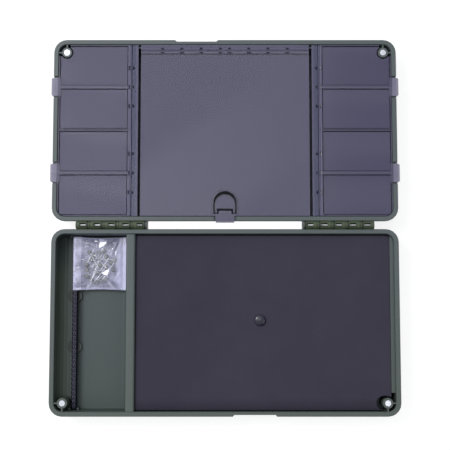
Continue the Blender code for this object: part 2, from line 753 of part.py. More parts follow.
def hinge_edge(plate, hooks, low, high, axis, place):
    """The rod of a cover, the webs that carry it and the plate's notches round the clips."""
    clip = -(ROD_RADIUS + FIT_GAP + HOOK_WALL + FIT_GAP)
    notch_z = (COVER_BOTTOM - OVERRUN, COVER_TOP + OVERRUN)
    web_z = (ROD_Z - ROD_WEB / 2, ROD_Z + ROD_WEB / 2)
    for gap in clip_notches(hooks):
        bounds = ((place(clip), place(0)), gap)
        cut(plate, box(*(bounds if axis == "y" else bounds[::-1]), notch_z))
    for gap in clip_gaps(hooks, low, high):
        bounds = ((place(-ROD_REACH - WALL_BITE), place(0)), gap)
        fuse(plate, box(*(bounds if axis == "y" else bounds[::-1]), web_z))
    rod = circle((place(0), ROD_Z), ROD_RADIUS, ROD_SIDES, math.pi / ROD_SIDES)
    return fuse(plate, prism(rod, axis, low, high))


def side_tab(way, middle):
    """The tongue over the side rim with its down-turned lip."""
    outer = HALF_WIDTH + LIP_GAP + SIDE_LIP
    half = TAB_WIDTH / 2
    inner = INNER_X - COVER_EDGE_GAP - WALL
    corner = LIP_CORNER
    outline = [
        (way * inner, middle - half), (way * (outer - corner), middle - half),
        (way * outer, middle - half + corner), (way * outer, middle + half - corner),
        (way * (outer - corner), middle + half), (way * inner, middle + half),
    ]
    tab = prism(outline, "z", COVER_TOP - LIP_HEIGHT, COVER_TOP)
    under = (COVER_TOP - LIP_HEIGHT - OVERRUN, COVER_BOTTOM)
    wide = (middle - half - OVERRUN, middle + half + OVERRUN)
    return cut(tab, box((0, way * (HALF_WIDTH + LIP_GAP)), wide, under))


def centre_tab():
    """The tongue over the rear rim with its down-turned lip."""
    outer = HINGE_SETBACK - LIP_GAP - CENTRE_LIP
    half = CENTRE_TAB_WIDTH / 2
    inner = REAR_INNER_V + COVER_EDGE_GAP + PULL_FRAME / 2
    corner = LIP_CORNER / 2
    outline = [
        (-half, inner), (-half, outer + corner), (-half + corner, outer),
        (half - corner, outer), (half, outer + corner), (half, inner),
    ]
    tab = prism(outline, "z", COVER_TOP - LIP_HEIGHT, COVER_TOP)
    under = (COVER_TOP - LIP_HEIGHT - OVERRUN, COVER_BOTTOM)
    wide = (-half - OVERRUN, half + OVERRUN)
    return cut(tab, box(wide, (HINGE_SETBACK - LIP_GAP, inner + OVERRUN), under))


def boss_clearance(way):
    """What a front cover leaves free: the room round the magnet boss, and the corner of the opening."""
    radius = BOSS_RADIUS + COVER_BOSS_GAP
    reach = radius * COVER_CORNER_SHARE
    z = (COVER_TOP - LIP_HEIGHT - OVERRUN, COVER_TOP + OVERRUN)
    corner = box((way * (BOSS_X - reach), way * HALF_WIDTH), (BOSS_V - reach, FRONT_V), z)
    return fuse(prism(circle((way * BOSS_X, BOSS_V), radius, ROUND_SIDES), "z", *z), corner)


def side_cover(way, middle):
    """A cover over two small compartments, with its two sunk panels."""
    half = CELL_PITCH - COVER_SPLIT / 2
    low = max(middle - half, REAR_INNER_V + COVER_EDGE_GAP)
    high = min(middle + half, FRONT_INNER_V - COVER_EDGE_GAP)
    edge = SIDE_HINGE_X + ROD_REACH
    plate = lid_opening_block((way * edge, way * HALF_WIDTH), (low, high))
    panel_x = (way * (edge + PANEL_BORDER), way * (INNER_X - COVER_EDGE_GAP - PANEL_BORDER))
    panels = (
        (low + PANEL_BORDER, middle - PANEL_BAR / 2),
        (middle + PANEL_BAR / 2, high - PANEL_BORDER),
    )
    cut(plate, *[recess(panel_x, panel) for panel in panels])
    fuse(plate, side_tab(way, middle))
    if middle == COVER_MIDDLES[-1]:
        cut(plate, boss_clearance(way))
    hooks = [h for h in side_hooks() if low < h < high]
    return hinge_edge(plate, hooks, low, high, "y", lambda d: way * (SIDE_HINGE_X - d))


def pull_arch(half, rear, top):
    """A D outline: straight sides from the rear edge, then a half ellipse with its crown at the top."""
    centre = top - half
    crown = arc((0, centre), half, 0, 180, ARCH_STEPS)
    return [(-half, rear), (half, rear)] + crown


def pull_opening(grow, rear):
    top = PIVOT_V + PULL_LENGTH + PULL_FINGER_GAP - PULL_LEG_RADIUS + grow
    return pull_arch(PULL_HALF_WIDTH + PULL_SIDE_GAP + grow, rear, top)


def centre_cover():
    """The large cover, with its latch tab and the collared opening that the pull lies in."""
    rear = REAR_INNER_V + COVER_EDGE_GAP
    edge = FRONT_HINGE_V - ROD_REACH
    half = CENTRE_HALF_WIDTH
    plate = lid_opening_block((-half, half), (rear, edge))
    open_rear = PIVOT_V - PULL_LEG_RADIUS - FIT_GAP
    collar_z = (COVER_TOP - PULL_COLLAR_DEPTH, COVER_TOP - PANEL_DEPTH / 2)
    fuse(plate, prism(pull_opening(PULL_COLLAR, rear), "z", *collar_z))
    cut(plate, prism(pull_opening(0, open_rear), "z", collar_z[0] - OVERRUN, COVER_TOP + OVERRUN))
    tongue = (open_rear - PULL_FRAME * TONGUE_ROOT_SHARE, open_rear + TONGUE_LENGTH)
    across = (-TONGUE_WIDTH / 2, TONGUE_WIDTH / 2)
    fuse(plate, box(across, tongue, (COVER_BOTTOM + WALL_BITE, COVER_TOP - WALL_BITE)))
    fuse(plate, centre_tab())
    socket = circle((PIVOT_V, PIVOT_Z), PULL_PIVOT_RADIUS + FIT_GAP, BORE_SIDES)
    reach = PULL_HALF_WIDTH + PULL_SIDE_GAP + PULL_PIVOT_REACH
    for way in (-1, 1):
        cut(plate, prism(socket, "x", *sorted((way * PULL_HALF_WIDTH, way * reach))))
    return hinge_edge(plate, front_hooks(), -half, half, "x", lambda d: FRONT_HINGE_V + d)


def cover_pull():
    """The D-shaped pull with two legs, each on a stub that turns in the collar."""
    top = PIVOT_V + PULL_LENGTH - PULL_LEG_RADIUS
    shoulder = PIVOT_V + PULL_LEG_LENGTH - PULL_LEG_RADIUS
    z = (COVER_TOP - PULL_THICKNESS, COVER_TOP)
    pull = prism(pull_arch(PULL_HALF_WIDTH, shoulder, top), "z", *z)
    leg_side = [(PIVOT_V, z[0]), (shoulder + WALL, z[0]), (shoulder + WALL, z[1]), (PIVOT_V, z[1])]
    round_end = circle((PIVOT_V, PIVOT_Z), PULL_LEG_RADIUS, 2 * BORE_SIDES, math.pi / 2)
    stub = circle((PIVOT_V, PIVOT_Z), PULL_PIVOT_RADIUS, BORE_SIDES)
    for way in (-1, 1):
        outer = way * PULL_HALF_WIDTH
        inner = way * (PULL_HALF_WIDTH - PULL_LEG_WIDTH)
        tip = way * (PULL_HALF_WIDTH + PULL_SIDE_GAP + PULL_PIVOT_REACH - FIT_GAP)
        leg = prism(leg_side, "x", *sorted((inner, outer - way * WALL_BITE)))
        fuse(leg, prism(round_end, "x", *sorted((inner, outer))))
        fuse(leg, prism(stub, "x", *sorted((outer - way * WALL_BITE, tip))))
        fuse(pull, leg)
    return pull


def rig_board():
    """Foam with a hole for the stud, a bay for the washer under it and a long notch beside the magnet boss."""
    corners = (
        (BOARD_RIGHT, -BOARD_REAR, 1, 1, BOARD_WALL_CORNER),
        (BOARD_LEFT, -BOARD_REAR, -1, 1, BOARD_CORNER),
        (BOARD_LEFT, -BOARD_FRONT, -1, -1, BOARD_CORNER),
        (BOARD_RIGHT, -BOARD_FRONT, 1, -1, BOARD_CORNER),
    )
    outline = []
    for turn, (x, y, way_x, way_y, r) in enumerate(corners):
        centre = (x - way_x * r, y - way_y * r)
        outline += arc(centre, r, 90 * turn, 90 * turn + 90, ROUND_STEPS)
    board = prism(outline, "z", BOARD_BOTTOM, BOARD_TOP)
    radius = BOSS_RADIUS + BOARD_BOSS_GAP
    notch = arc((BOSS_X, -BOSS_V), radius, -90, 90, 2 * ROUND_STEPS)
    notch += arc((BOSS_X - BOARD_NOTCH_REACH, -BOSS_V), radius, 90, 270, 2 * ROUND_STEPS)
    stud = (STUD_X, -STUD_V)
    hole = circle(stud, STUD_STEM + FIT_GAP, BORE_SIDES)
    bay = circle(stud, WASHER_RADIUS + FIT_GAP, ROUND_SIDES)
    through = (BOARD_BOTTOM - OVERRUN, BOARD_TOP + OVERRUN)
    cut(board, prism(notch, "z", *through), prism(hole, "z", *through))
    corner = box(
        (BOSS_X - BOARD_NOTCH_REACH, BOARD_RIGHT + OVERRUN),
        (-BOSS_V, -BOARD_FRONT - OVERRUN), through
    )
    bay_top = BOARD_BOTTOM + WASHER_THICKNESS + 2 * FIT_GAP
    return cut(board, corner, prism(bay, "z", BOARD_BOTTOM - OVERRUN, bay_top))


def board_stud():
    """A domed head on a stem that passes down through the foam."""
    seat = BOARD_TOP + FIT_GAP
    stud = (STUD_X, -STUD_V)
    steps = 2 * ROUND_STEPS
    profile = [(STUD_STEM, BOARD_BOTTOM + FIT_GAP), (STUD_STEM, seat)]
    for i in range(steps):
        angle = math.radians(90 * i / steps)
        profile.append((STUD_RADIUS * math.cos(angle), seat + STUD_RISE * math.sin(angle)))
    rings = [
        [(x, y, z) for x, y in circle(stud, radius, ROUND_SIDES)] for radius, z in profile
    ]
    return loft(rings, "board_stud")


def stud_washer():
    stud = (STUD_X, -STUD_V)
    z = (BOARD_BOTTOM + FIT_GAP, BOARD_BOTTOM + FIT_GAP + WASHER_THICKNESS)
    washer = prism(circle(stud, WASHER_RADIUS, ROUND_SIDES), "z", *z)
    hole = circle(stud, STUD_STEM + FIT_GAP, BORE_SIDES)
    return cut(washer, prism(hole, "z", z[0] - OVERRUN, z[1] + OVERRUN))


def rack_rings():
    """How many rings the rack carries, and where its first one stands."""
    rear = REAR_INNER_V + DRAFT + RACK_END_GAP
    front = FRONT_INNER_V - DRAFT - RACK_END_GAP
    count = int((front - rear) / RACK_PITCH)
    return count, (rear + front) / 2 - RACK_PITCH * (count - 1) / 2


def hook_rack():
    """A tall web under a scalloped head, with a round hook eye in every lobe."""
    count, first = rack_rings()
    scallop = []
    for i in range(4 * count + 1):
        v = first + RACK_PITCH * (i / 4 - 0.5)
        swell = (1 - math.cos(math.pi * i / 2)) / 2
        scallop.append((RACK_NECK / 2 + (RACK_LOBE - RACK_NECK) / 2 * swell, -v))
    outline = [(RACK_X + w, y) for w, y in scallop]
    outline += [(RACK_X - w, y) for w, y in reversed(scallop)]
    rack = prism(outline, "z", RACK_TOP - RACK_HEAD, RACK_TOP)
    head_rear, head_front = scallop[0][1], scallop[-1][1]
    web_x = (RACK_X - RACK_WEB / 2, RACK_X + RACK_WEB / 2)
    web_y = (head_rear - RACK_WEB_INSET, head_front + RACK_WEB_INSET)
    fuse(rack, box(web_x, web_y, (FLOOR + FIT_GAP, RACK_TOP - RACK_HEAD / 2)))
    for i in range(count):
        eye = circle((RACK_X, -first - RACK_PITCH * i), RACK_HOLE, ROD_SIDES)
        cut(rack, prism(eye, "z", RACK_TOP - RACK_HOLE_DEPTH, RACK_TOP + OVERRUN))
    return rack


def bag_bounds():
    """The bag's left edge over the rack, and its rear edge."""
    left = DIVIDER_X - DIVIDER_WIDTH / 2 - 2 * FIT_GAP - BAG_SIZE
    return left, REAR_INNER_V + DRAFT + BAG_REAR_GAP


def bag_flap():
    """The share of the bag's width that lies flat on top of the rack and its guides."""
    edge = RACK_X + RACK_LOBE / 2 + GUIDE_WIDTH + 3 * FIT_GAP
    return (edge - bag_bounds()[0]) / BAG_SIZE


def bag_lines(hem):
    """The shares across and along the bag at which a film is folded."""
    flap = bag_flap()
    swollen = 1 - BAG_BAND / BAG_SIZE - flap
    columns = [hem] + [flap + swollen * i / BAG_STEPS for i in range(BAG_STEPS + 1)] + [1]
    return columns, [hem + (1 - 2 * hem) * j / BAG_STEPS for j in range(BAG_STEPS + 1)]


def bag_swell(u, v):
    """How far a film stands off the middle surface: 0 at the hems, the flap and the band, 1 in the middle."""
    flap = bag_flap()
    inside = min(max(u - flap, 0) / (1 - BAG_BAND / BAG_SIZE - flap), 1)
    return math.sqrt((1 - (2 * inside - 1) ** 4) * (1 - (2 * v - 1) ** 4))


def bag_middle(u):
    """The height of the bag's middle surface: flat over the rack, then down to the compartment's floor."""
    low = FLOOR + FIT_GAP + BAG_MOUTH / 2 + BAG_BULGE + BAG_FILM
    high = RACK_TOP + FIT_GAP + BAG_MOUTH / 2 + BAG_FILM
    rise = min(max(1 - (u - bag_flap()) / BAG_DROP_SHARE, 0), 1)
    return low + max(high - low, 0) * rise * rise * (3 - 2 * rise)


def bag_film(layer):
    """The folded grid of one film face: outer bottom, inner bottom, inner top or outer top.

    The inner faces stop short of three hems. The creases of the top film are the same on both of its faces.
    """
    chance = random.Random(BAG_SEED)
    left, rear = bag_bounds()
    hem = BAG_HEM / BAG_SIZE if layer in ("floor", "roof") else 0
    columns, rows = bag_lines(hem)
    film = []
    for v in rows:
        line = []
        for u in columns:
            swell = bag_swell(u, v)
            half = BAG_MOUTH / 2 + BAG_BULGE * swell
            crease = BAG_CREASE * swell * chance.uniform(-1, 1)
            offset = {
                "under": -half - BAG_FILM, "floor": -half,
                "roof": half + crease, "over": half + crease + BAG_FILM,
            }[layer]
            place = (left + BAG_SIZE * u, -rear - BAG_SIZE * v, bag_middle(u) + offset)
            line.append(Vector(place))
        film.append(line)
    return film


def stitch(mesh, first, second):
    """Quads between two equally long lines of points."""
    for i in range(len(first) - 1):
        mesh.faces.new((first[i], first[i + 1], second[i + 1], second[i]))


def pin_bag():
    """A pouch of two films, sealed on three sides, with a flat band along its mouth by the divider."""
    mesh = bmesh.new()
    grids = [
        [[mesh.verts.new(point) for point in line] for line in bag_film(layer)]
        for layer in ("under", "floor", "roof", "over")
    ]
    under, floor, roof, over = grids
    for grid in grids:
        for below, above in zip(grid, grid[1:]):
            stitch(mesh, below, above)
    for low, high in ((under, over), (floor, roof)):
        stitch(mesh, low[0], high[0])
        stitch(mesh, low[-1], high[-1])
        stitch(mesh, [row[0] for row in low], [row[0] for row in high])
    under_end, floor_end, roof_end, over_end = [[row[-1] for row in grid] for grid in grids]
    stitch(mesh, under_end, floor_end)
    stitch(mesh, roof_end, over_end)
    mesh.faces.new((under_end[0], floor_end[0], roof_end[0], over_end[0]))
    mesh.faces.new((under_end[-1], floor_end[-1], roof_end[-1], over_end[-1]))
    return finish_mesh(mesh, "pin_bag")


def film_height(film, x, y, worse):
    """A film's height at a place, taking the worse of the two ways to split its fold into triangles."""
    i = sum(point.x <= x for point in film[0][1:-1])
    j = sum(line[0].y >= y for line in film[1:-1])
    a, b, d, c = film[j][i], film[j][i + 1], film[j + 1][i], film[j + 1][i + 1]
    s, t = (x - a.x) / (b.x - a.x), (y - a.y) / (d.y - a.y)
    if s > t:
        first = a.z + (b.z - a.z) * s + (c.z - b.z) * t
    else:
        first = a.z + (c.z - d.z) * s + (d.z - a.z) * t
    if s + t < 1:
        second = a.z + (b.z - a.z) * s + (d.z - a.z) * t
    else:
        second = c.z + (d.z - c.z) * (1 - s) + (b.z - c.z) * (1 - t)
    return worse(first, second)


def head_room(x, y, floor, roof):
    """The lowest and the highest that a pin's head can lie at a place in the bag."""
    reach = RIG_PIN_HEAD + RIG_PIN_GAP
    lowest, highest = [], []
    for k in range(ROUND_STEPS + 1):
        across = reach * math.sin(math.pi / 2 * k / ROUND_STEPS)
        up = reach * math.cos(math.pi / 2 * k / ROUND_STEPS)
        for px, py in circle((x, y), across, RIG_PIN_SIDES):
            lowest.append(film_height(floor, px, py, max) + up)
            highest.append(film_height(roof, px, py, min) - up)
    return max(lowest), min(highest)


def shaft_in_bag(head, tip, floor, roof):
    """Whether a pin's shaft lies between the bag's inner faces and short of its seams and its band."""
    left, right = floor[0][0].x + BAG_HEM, floor[0][-2].x
    rear, front = floor[0][0].y - BAG_HEM, floor[-1][0].y + BAG_HEM
    room = RIG_PIN_SHAFT + 2 * RIG_PIN_GAP
    for i in range(ROUND_SIDES + 1):
        point = head.lerp(tip, i / ROUND_SIDES)
        if not (left < point.x < right and front < point.y < rear):
            return False
        if point.z - room < film_height(floor, point.x, point.y, max):
            return False
        if point.z + room > film_height(roof, point.x, point.y, min):
            return False
    return True


def segment_gap(p, q, r, s):
    """The least distance between the segments p to q and r to s."""
    d1, d2, between = q - p, s - r, p - r
    a, e, f = d1.dot(d1), d2.dot(d2), d2.dot(between)
    c, b = d1.dot(between), d1.dot(d2)
    determinant = a * e - b * b
    along = min(max((b * f - c * e) / determinant, 0), 1) if determinant else 0
    across = min(max((b * along + f) / e, 0), 1)
    along = min(max((b * across - c) / a, 0), 1)
    return (p + d1 * along - r - d2 * across).length


def point_gap(point, start, end):
    """The least distance from a point to a segment."""
    run = end - start
    share = min(max((point - start).dot(run) / run.dot(run), 0), 1)
    return (start + run * share - point).length


def lay_heads(chance, floor, roof):
    """The pins' heads, each as low in the bag as its neighbours let it lie, with the headings."""
    left, right = floor[0][1].x, floor[0][-2].x
    rear = bag_bounds()[1]
    heads = []
    for (across, along), heading in zip(RIG_PIN_SHARES, RIG_PIN_HEADINGS):
        for attempt in range(RIG_PIN_TRIES):
            freedom = attempt / RIG_PIN_TRIES
            x = left + (right - left) * across + RIG_PIN_SHIFT * freedom * chance.uniform(-1, 1)
            y = -rear - BAG_SIZE * along + RIG_PIN_SHIFT * freedom * chance.uniform(-1, 1)
            lowest, highest = head_room(x, y, floor, roof)
            head = Vector((x, y, lowest + (highest - lowest) * freedom * chance.random()))
            clear = all((head - other).length > 2 * RIG_PIN_HEAD + RIG_PIN_GAP for other, _ in heads)
            if highest > lowest and clear:
                heads.append((head, heading))
                break
    return heads


def place_pins():
    """A jumble: each shaft is turned and tilted about its head until it clears the bag and the others."""
    chance = random.Random(RIG_PIN_SEED)
    floor, roof = bag_film("floor"), bag_film("roof")
    heads = lay_heads(chance, floor, roof)
    head_shaft = RIG_PIN_HEAD + RIG_PIN_SHAFT + RIG_PIN_GAP
    both_shafts = 2 * RIG_PIN_SHAFT + RIG_PIN_GAP
    placed = []
    for head, heading in heads:
        others = [other for other, _ in heads if other is not head]
        for attempt in range(RIG_PIN_TRIES):
            swing = RIG_PIN_SPREAD * attempt / RIG_PIN_TRIES * chance.uniform(-1, 1)
            turn = math.radians(heading + swing)
            rise = RIG_PIN_TILT * chance.uniform(-1, 1)
            run = math.sqrt(RIG_PIN_LENGTH ** 2 - rise ** 2)
            tip = head + Vector((run * math.cos(turn), run * math.sin(turn), rise))
            if not all(point_gap(other, head, tip) > head_shaft for other in others):
                continue
            if not all(segment_gap(head, tip, *other) > both_shafts for other in placed):
                continue
            if shaft_in_bag(head, tip, floor, roof):
                placed.append((head, tip))
                break
    return placed


def rig_pin(head, tip):
    """A ball head turned in one piece with its shaft, laid from its head to its tip."""
    steps = 2 * ROUND_STEPS
    neck = math.asin(RIG_PIN_SHAFT / RIG_PIN_HEAD)
    profile = []
    for i in range(1, steps + 1):
        angle = math.pi - (math.pi - neck) * i / steps
        profile.append((RIG_PIN_HEAD * math.sin(angle), RIG_PIN_HEAD * math.cos(angle)))
    profile.append((RIG_PIN_SHAFT, (tip - head).length))
    mesh = bmesh.new()
    back = mesh.verts.new((0, 0, -RIG_PIN_HEAD))
    rows = [
        [mesh.verts.new((x, y, z)) for x, y in circle((0, 0), radius, RIG_PIN_SIDES)]
        for radius, z in profile
    ]
    for i in range(RIG_PIN_SIDES):
        j = (i + 1) % RIG_PIN_SIDES
        mesh.faces.new((back, rows[0][i], rows[0][j]))
        for below, above in zip(rows, rows[1:]):
            mesh.faces.new((below[i], below[j], above[j], above[i]))
    mesh.faces.new(rows[-1])
    turn = (tip - head).to_track_quat("Z", "Y").to_matrix().to_4x4()
    turn.translation = head
    mesh.transform(turn)
    return finish_mesh(mesh, "rig_pin")


def build():
    """Every piece with its material, its pivot and its parent."""
    green = plastic("green_plastic", (0.120, 0.160, 0.145), 0.5)
    smoked = plastic("smoked_plastic", (0.145, 0.135, 0.205), 0.25)
    foam = plastic("board_foam", (0.045, 0.038, 0.062), 0.95)
    dark = plastic("dark_plastic", (0.020, 0.020, 0.032), 0.3)
    rack = plastic("rack_plastic", (0.022, 0.022, 0.045), 0.45)
    steel = plastic("bright_steel", (0.75, 0.75, 0.78), 0.25, 1.0)
    nickel = plastic("nickel", (0.85, 0.86, 0.90), 0.2, 1.0)
    film = plastic("clear_film", (0.40, 0.40, 0.58), 0.15)
    pearl = plastic("pearl_head", (0.20, 0.20, 0.16), 0.35)

    ground = pivot_empty("base_frame", (0, 0, 0))
    hinge = pivot_empty("lid_hinge", (0, 0, AXIS_HEIGHT), ground)
    front_axis = pivot_empty("centre_cover_hinge", (0, FRONT_HINGE_V, ROD_Z), hinge)
    origin = (0, 0, 0)
    axis = (0, 0, AXIS_HEIGHT)

    publish(base_tray(), "base_tray", green, origin, ground)
    publish(lid_shell(), "lid_shell", green, axis, hinge)
    for way, word in ((-1, "left"), (1, "right")):
        publish(hinge_pin(way), word + "_hinge_pin", steel, axis, ground)
        publish(magnet(way * BOSS_X, -1), "base_" + word + "_magnet", nickel, origin, ground)
        publish(magnet(way * BOSS_X, 1), "lid_" + word + "_magnet", nickel, axis, hinge)
        publish(side_strip(way), word + "_hinge_strip", smoked, axis, hinge)
        for middle, end in zip(COVER_MIDDLES, ("rear", "front")):
            pivot = (way * SIDE_HINGE_X, middle, ROD_Z)
            cover = side_cover(way, middle)
            publish(cover, word + "_" + end + "_cover", smoked, pivot, hinge)
    publish(front_strip(), "front_hinge_strip", smoked, axis, hinge)
    publish(centre_cover(), "centre_cover", smoked, (0, FRONT_HINGE_V, ROD_Z), front_axis)
    publish(cover_pull(), "cover_pull", smoked, (0, PIVOT_V, PIVOT_Z), front_axis)

    board_place = (STUD_X, -STUD_V, BOARD_BOTTOM)
    board = pivot_empty("board_lift", board_place, ground)
    publish(rig_board(), "rig_board", foam, board_place, board)
    publish(board_stud(), "board_stud", dark, board_place, board)
    publish(stud_washer(), "stud_washer", steel, board_place, board)
    publish(hook_rack(), "hook_rack", rack, origin, ground)

    left, rear = bag_bounds()
    bag_place = (left + BAG_SIZE / 2, -rear - BAG_SIZE / 2, FLOOR + FIT_GAP)
    bag = pivot_empty("bag_lift", bag_place, ground)
    publish(pin_bag(), "pin_bag", film, bag_place, bag)
    for number, (head, tip) in enumerate(place_pins(), 1):
        publish(rig_pin(head, tip), f"rig_pin_{number:02d}", pearl, bag_place, bag)


clear_scene()
build()
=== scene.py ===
"""Looks for the fishing rig box: materials, the clear bag, its pins, the light and the camera."""

import math

import bpy
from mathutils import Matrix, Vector, noise

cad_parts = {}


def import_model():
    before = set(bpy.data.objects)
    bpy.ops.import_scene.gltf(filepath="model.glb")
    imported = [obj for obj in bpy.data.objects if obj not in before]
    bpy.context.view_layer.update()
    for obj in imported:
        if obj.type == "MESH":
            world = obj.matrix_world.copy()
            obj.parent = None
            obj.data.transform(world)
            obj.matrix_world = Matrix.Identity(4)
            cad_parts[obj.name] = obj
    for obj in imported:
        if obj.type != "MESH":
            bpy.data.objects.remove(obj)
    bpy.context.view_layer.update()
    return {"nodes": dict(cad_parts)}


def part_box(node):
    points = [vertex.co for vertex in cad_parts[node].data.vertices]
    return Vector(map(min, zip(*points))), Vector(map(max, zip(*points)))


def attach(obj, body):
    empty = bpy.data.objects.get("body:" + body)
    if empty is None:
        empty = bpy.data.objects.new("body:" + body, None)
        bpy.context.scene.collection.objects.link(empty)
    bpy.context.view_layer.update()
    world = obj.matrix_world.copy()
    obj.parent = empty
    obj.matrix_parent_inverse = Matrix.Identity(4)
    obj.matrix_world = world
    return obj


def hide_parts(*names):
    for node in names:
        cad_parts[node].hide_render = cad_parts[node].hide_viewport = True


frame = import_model()
NODES = frame["nodes"]

RACK_LOW, RACK_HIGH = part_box("hook_rack")
RACK_X = (RACK_LOW.x + RACK_HIGH.x) / 2
RACK_TOP = RACK_HIGH.z
PIN_LOW, PIN_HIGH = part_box("right_hinge_pin")
HINGE_X = (PIN_LOW.x + PIN_HIGH.x) / 2

# Where the green plastic changes its look, in metres. A pair is the start and the end of one change.
GREENER_Y = (-0.19, -0.02)
BASE_Y = (-0.004, 0.004)
INNER_X = (0.1750, 0.1754)
HALF_MIDDLE_Y = 0.1002
INNER_REACH = (0.0910, 0.0914)
WALL_Z = (0.004, 0.029)
FLOOR_Z = (0.003, 0.027)
COVE_X = (-0.166, -0.159)
COVE_Y = (-0.05, -0.012)
COVE_Z = (0.024, 0.028)
SADDLE_X = RACK_X - 0.0012
SADDLE_Y = -0.0993
SADDLE_HALF = 0.0264
SADDLE_REACH = (0.0052, 0.0085)
SADDLE_END_Y = (-0.01, -0.005)
KNUCKLE_REACH = (0.0043, 0.0052)
KNUCKLES_HALF = (0.0375, 0.0385)
KNUCKLE_PITCH = 0.01482
POCKET_REACH = (0.00168, 0.00172)
POCKET_Z = (0.0316, 0.0320)
# The joints between the knuckles, in pitches: what is added to count them, and how far each lies from a middle.
KNUCKLE_SHIFT = 3.5
KNUCKLE_JOINT = (0.432, 0.458)

# The same for the smoked covers and strips, and for the board.
BORDER_Z = (0.0288, 0.0291)
SIDE_EDGE_X = (0.1012, 0.1016)
TAB_X = (0.1752, 0.1762)
GROOVE_X = ((0.0934, 0.0938), (0.0985, 0.0990))
CENTRE_EDGE_Y = (0.1820, 0.1824)
CENTRE_LINE_Y = ((0.1799, 0.1803), (0.1816, 0.1820))
COLLAR_ARCH_Y = 0.0234
COLLAR_LINE = ((0.0130, 0.0133), (0.0138, 0.0141))
COLLAR_FOOT_Y = (0.0420, 0.0422)
PULL_ARCH_Y = COLLAR_ARCH_Y - 0.002
PULL_RIM = (0.0098, 0.0101)
CELL_START_Y = 0.0091
CELL_PITCH = 0.04555
DISH_DEPTH = 0.0007
BOARD_FRONT_Y = (-0.1905, -0.1775)

# The rack: half widths of its lines, and how far below its top its colours change: the painted highlight on its
# rings and the painted shade under its head.
RACK_FACE = (0.0018, 0.0022)
RACK_RING_DROP = (0.00012, 0.00004)
RACK_SHADE_DROP = (0.0006, 0.0001)

SMOKE = (0.088, 0.083, 0.150)
FILM_MARKS = ("taut", "seam", "valley", "ridge")


# Node helpers

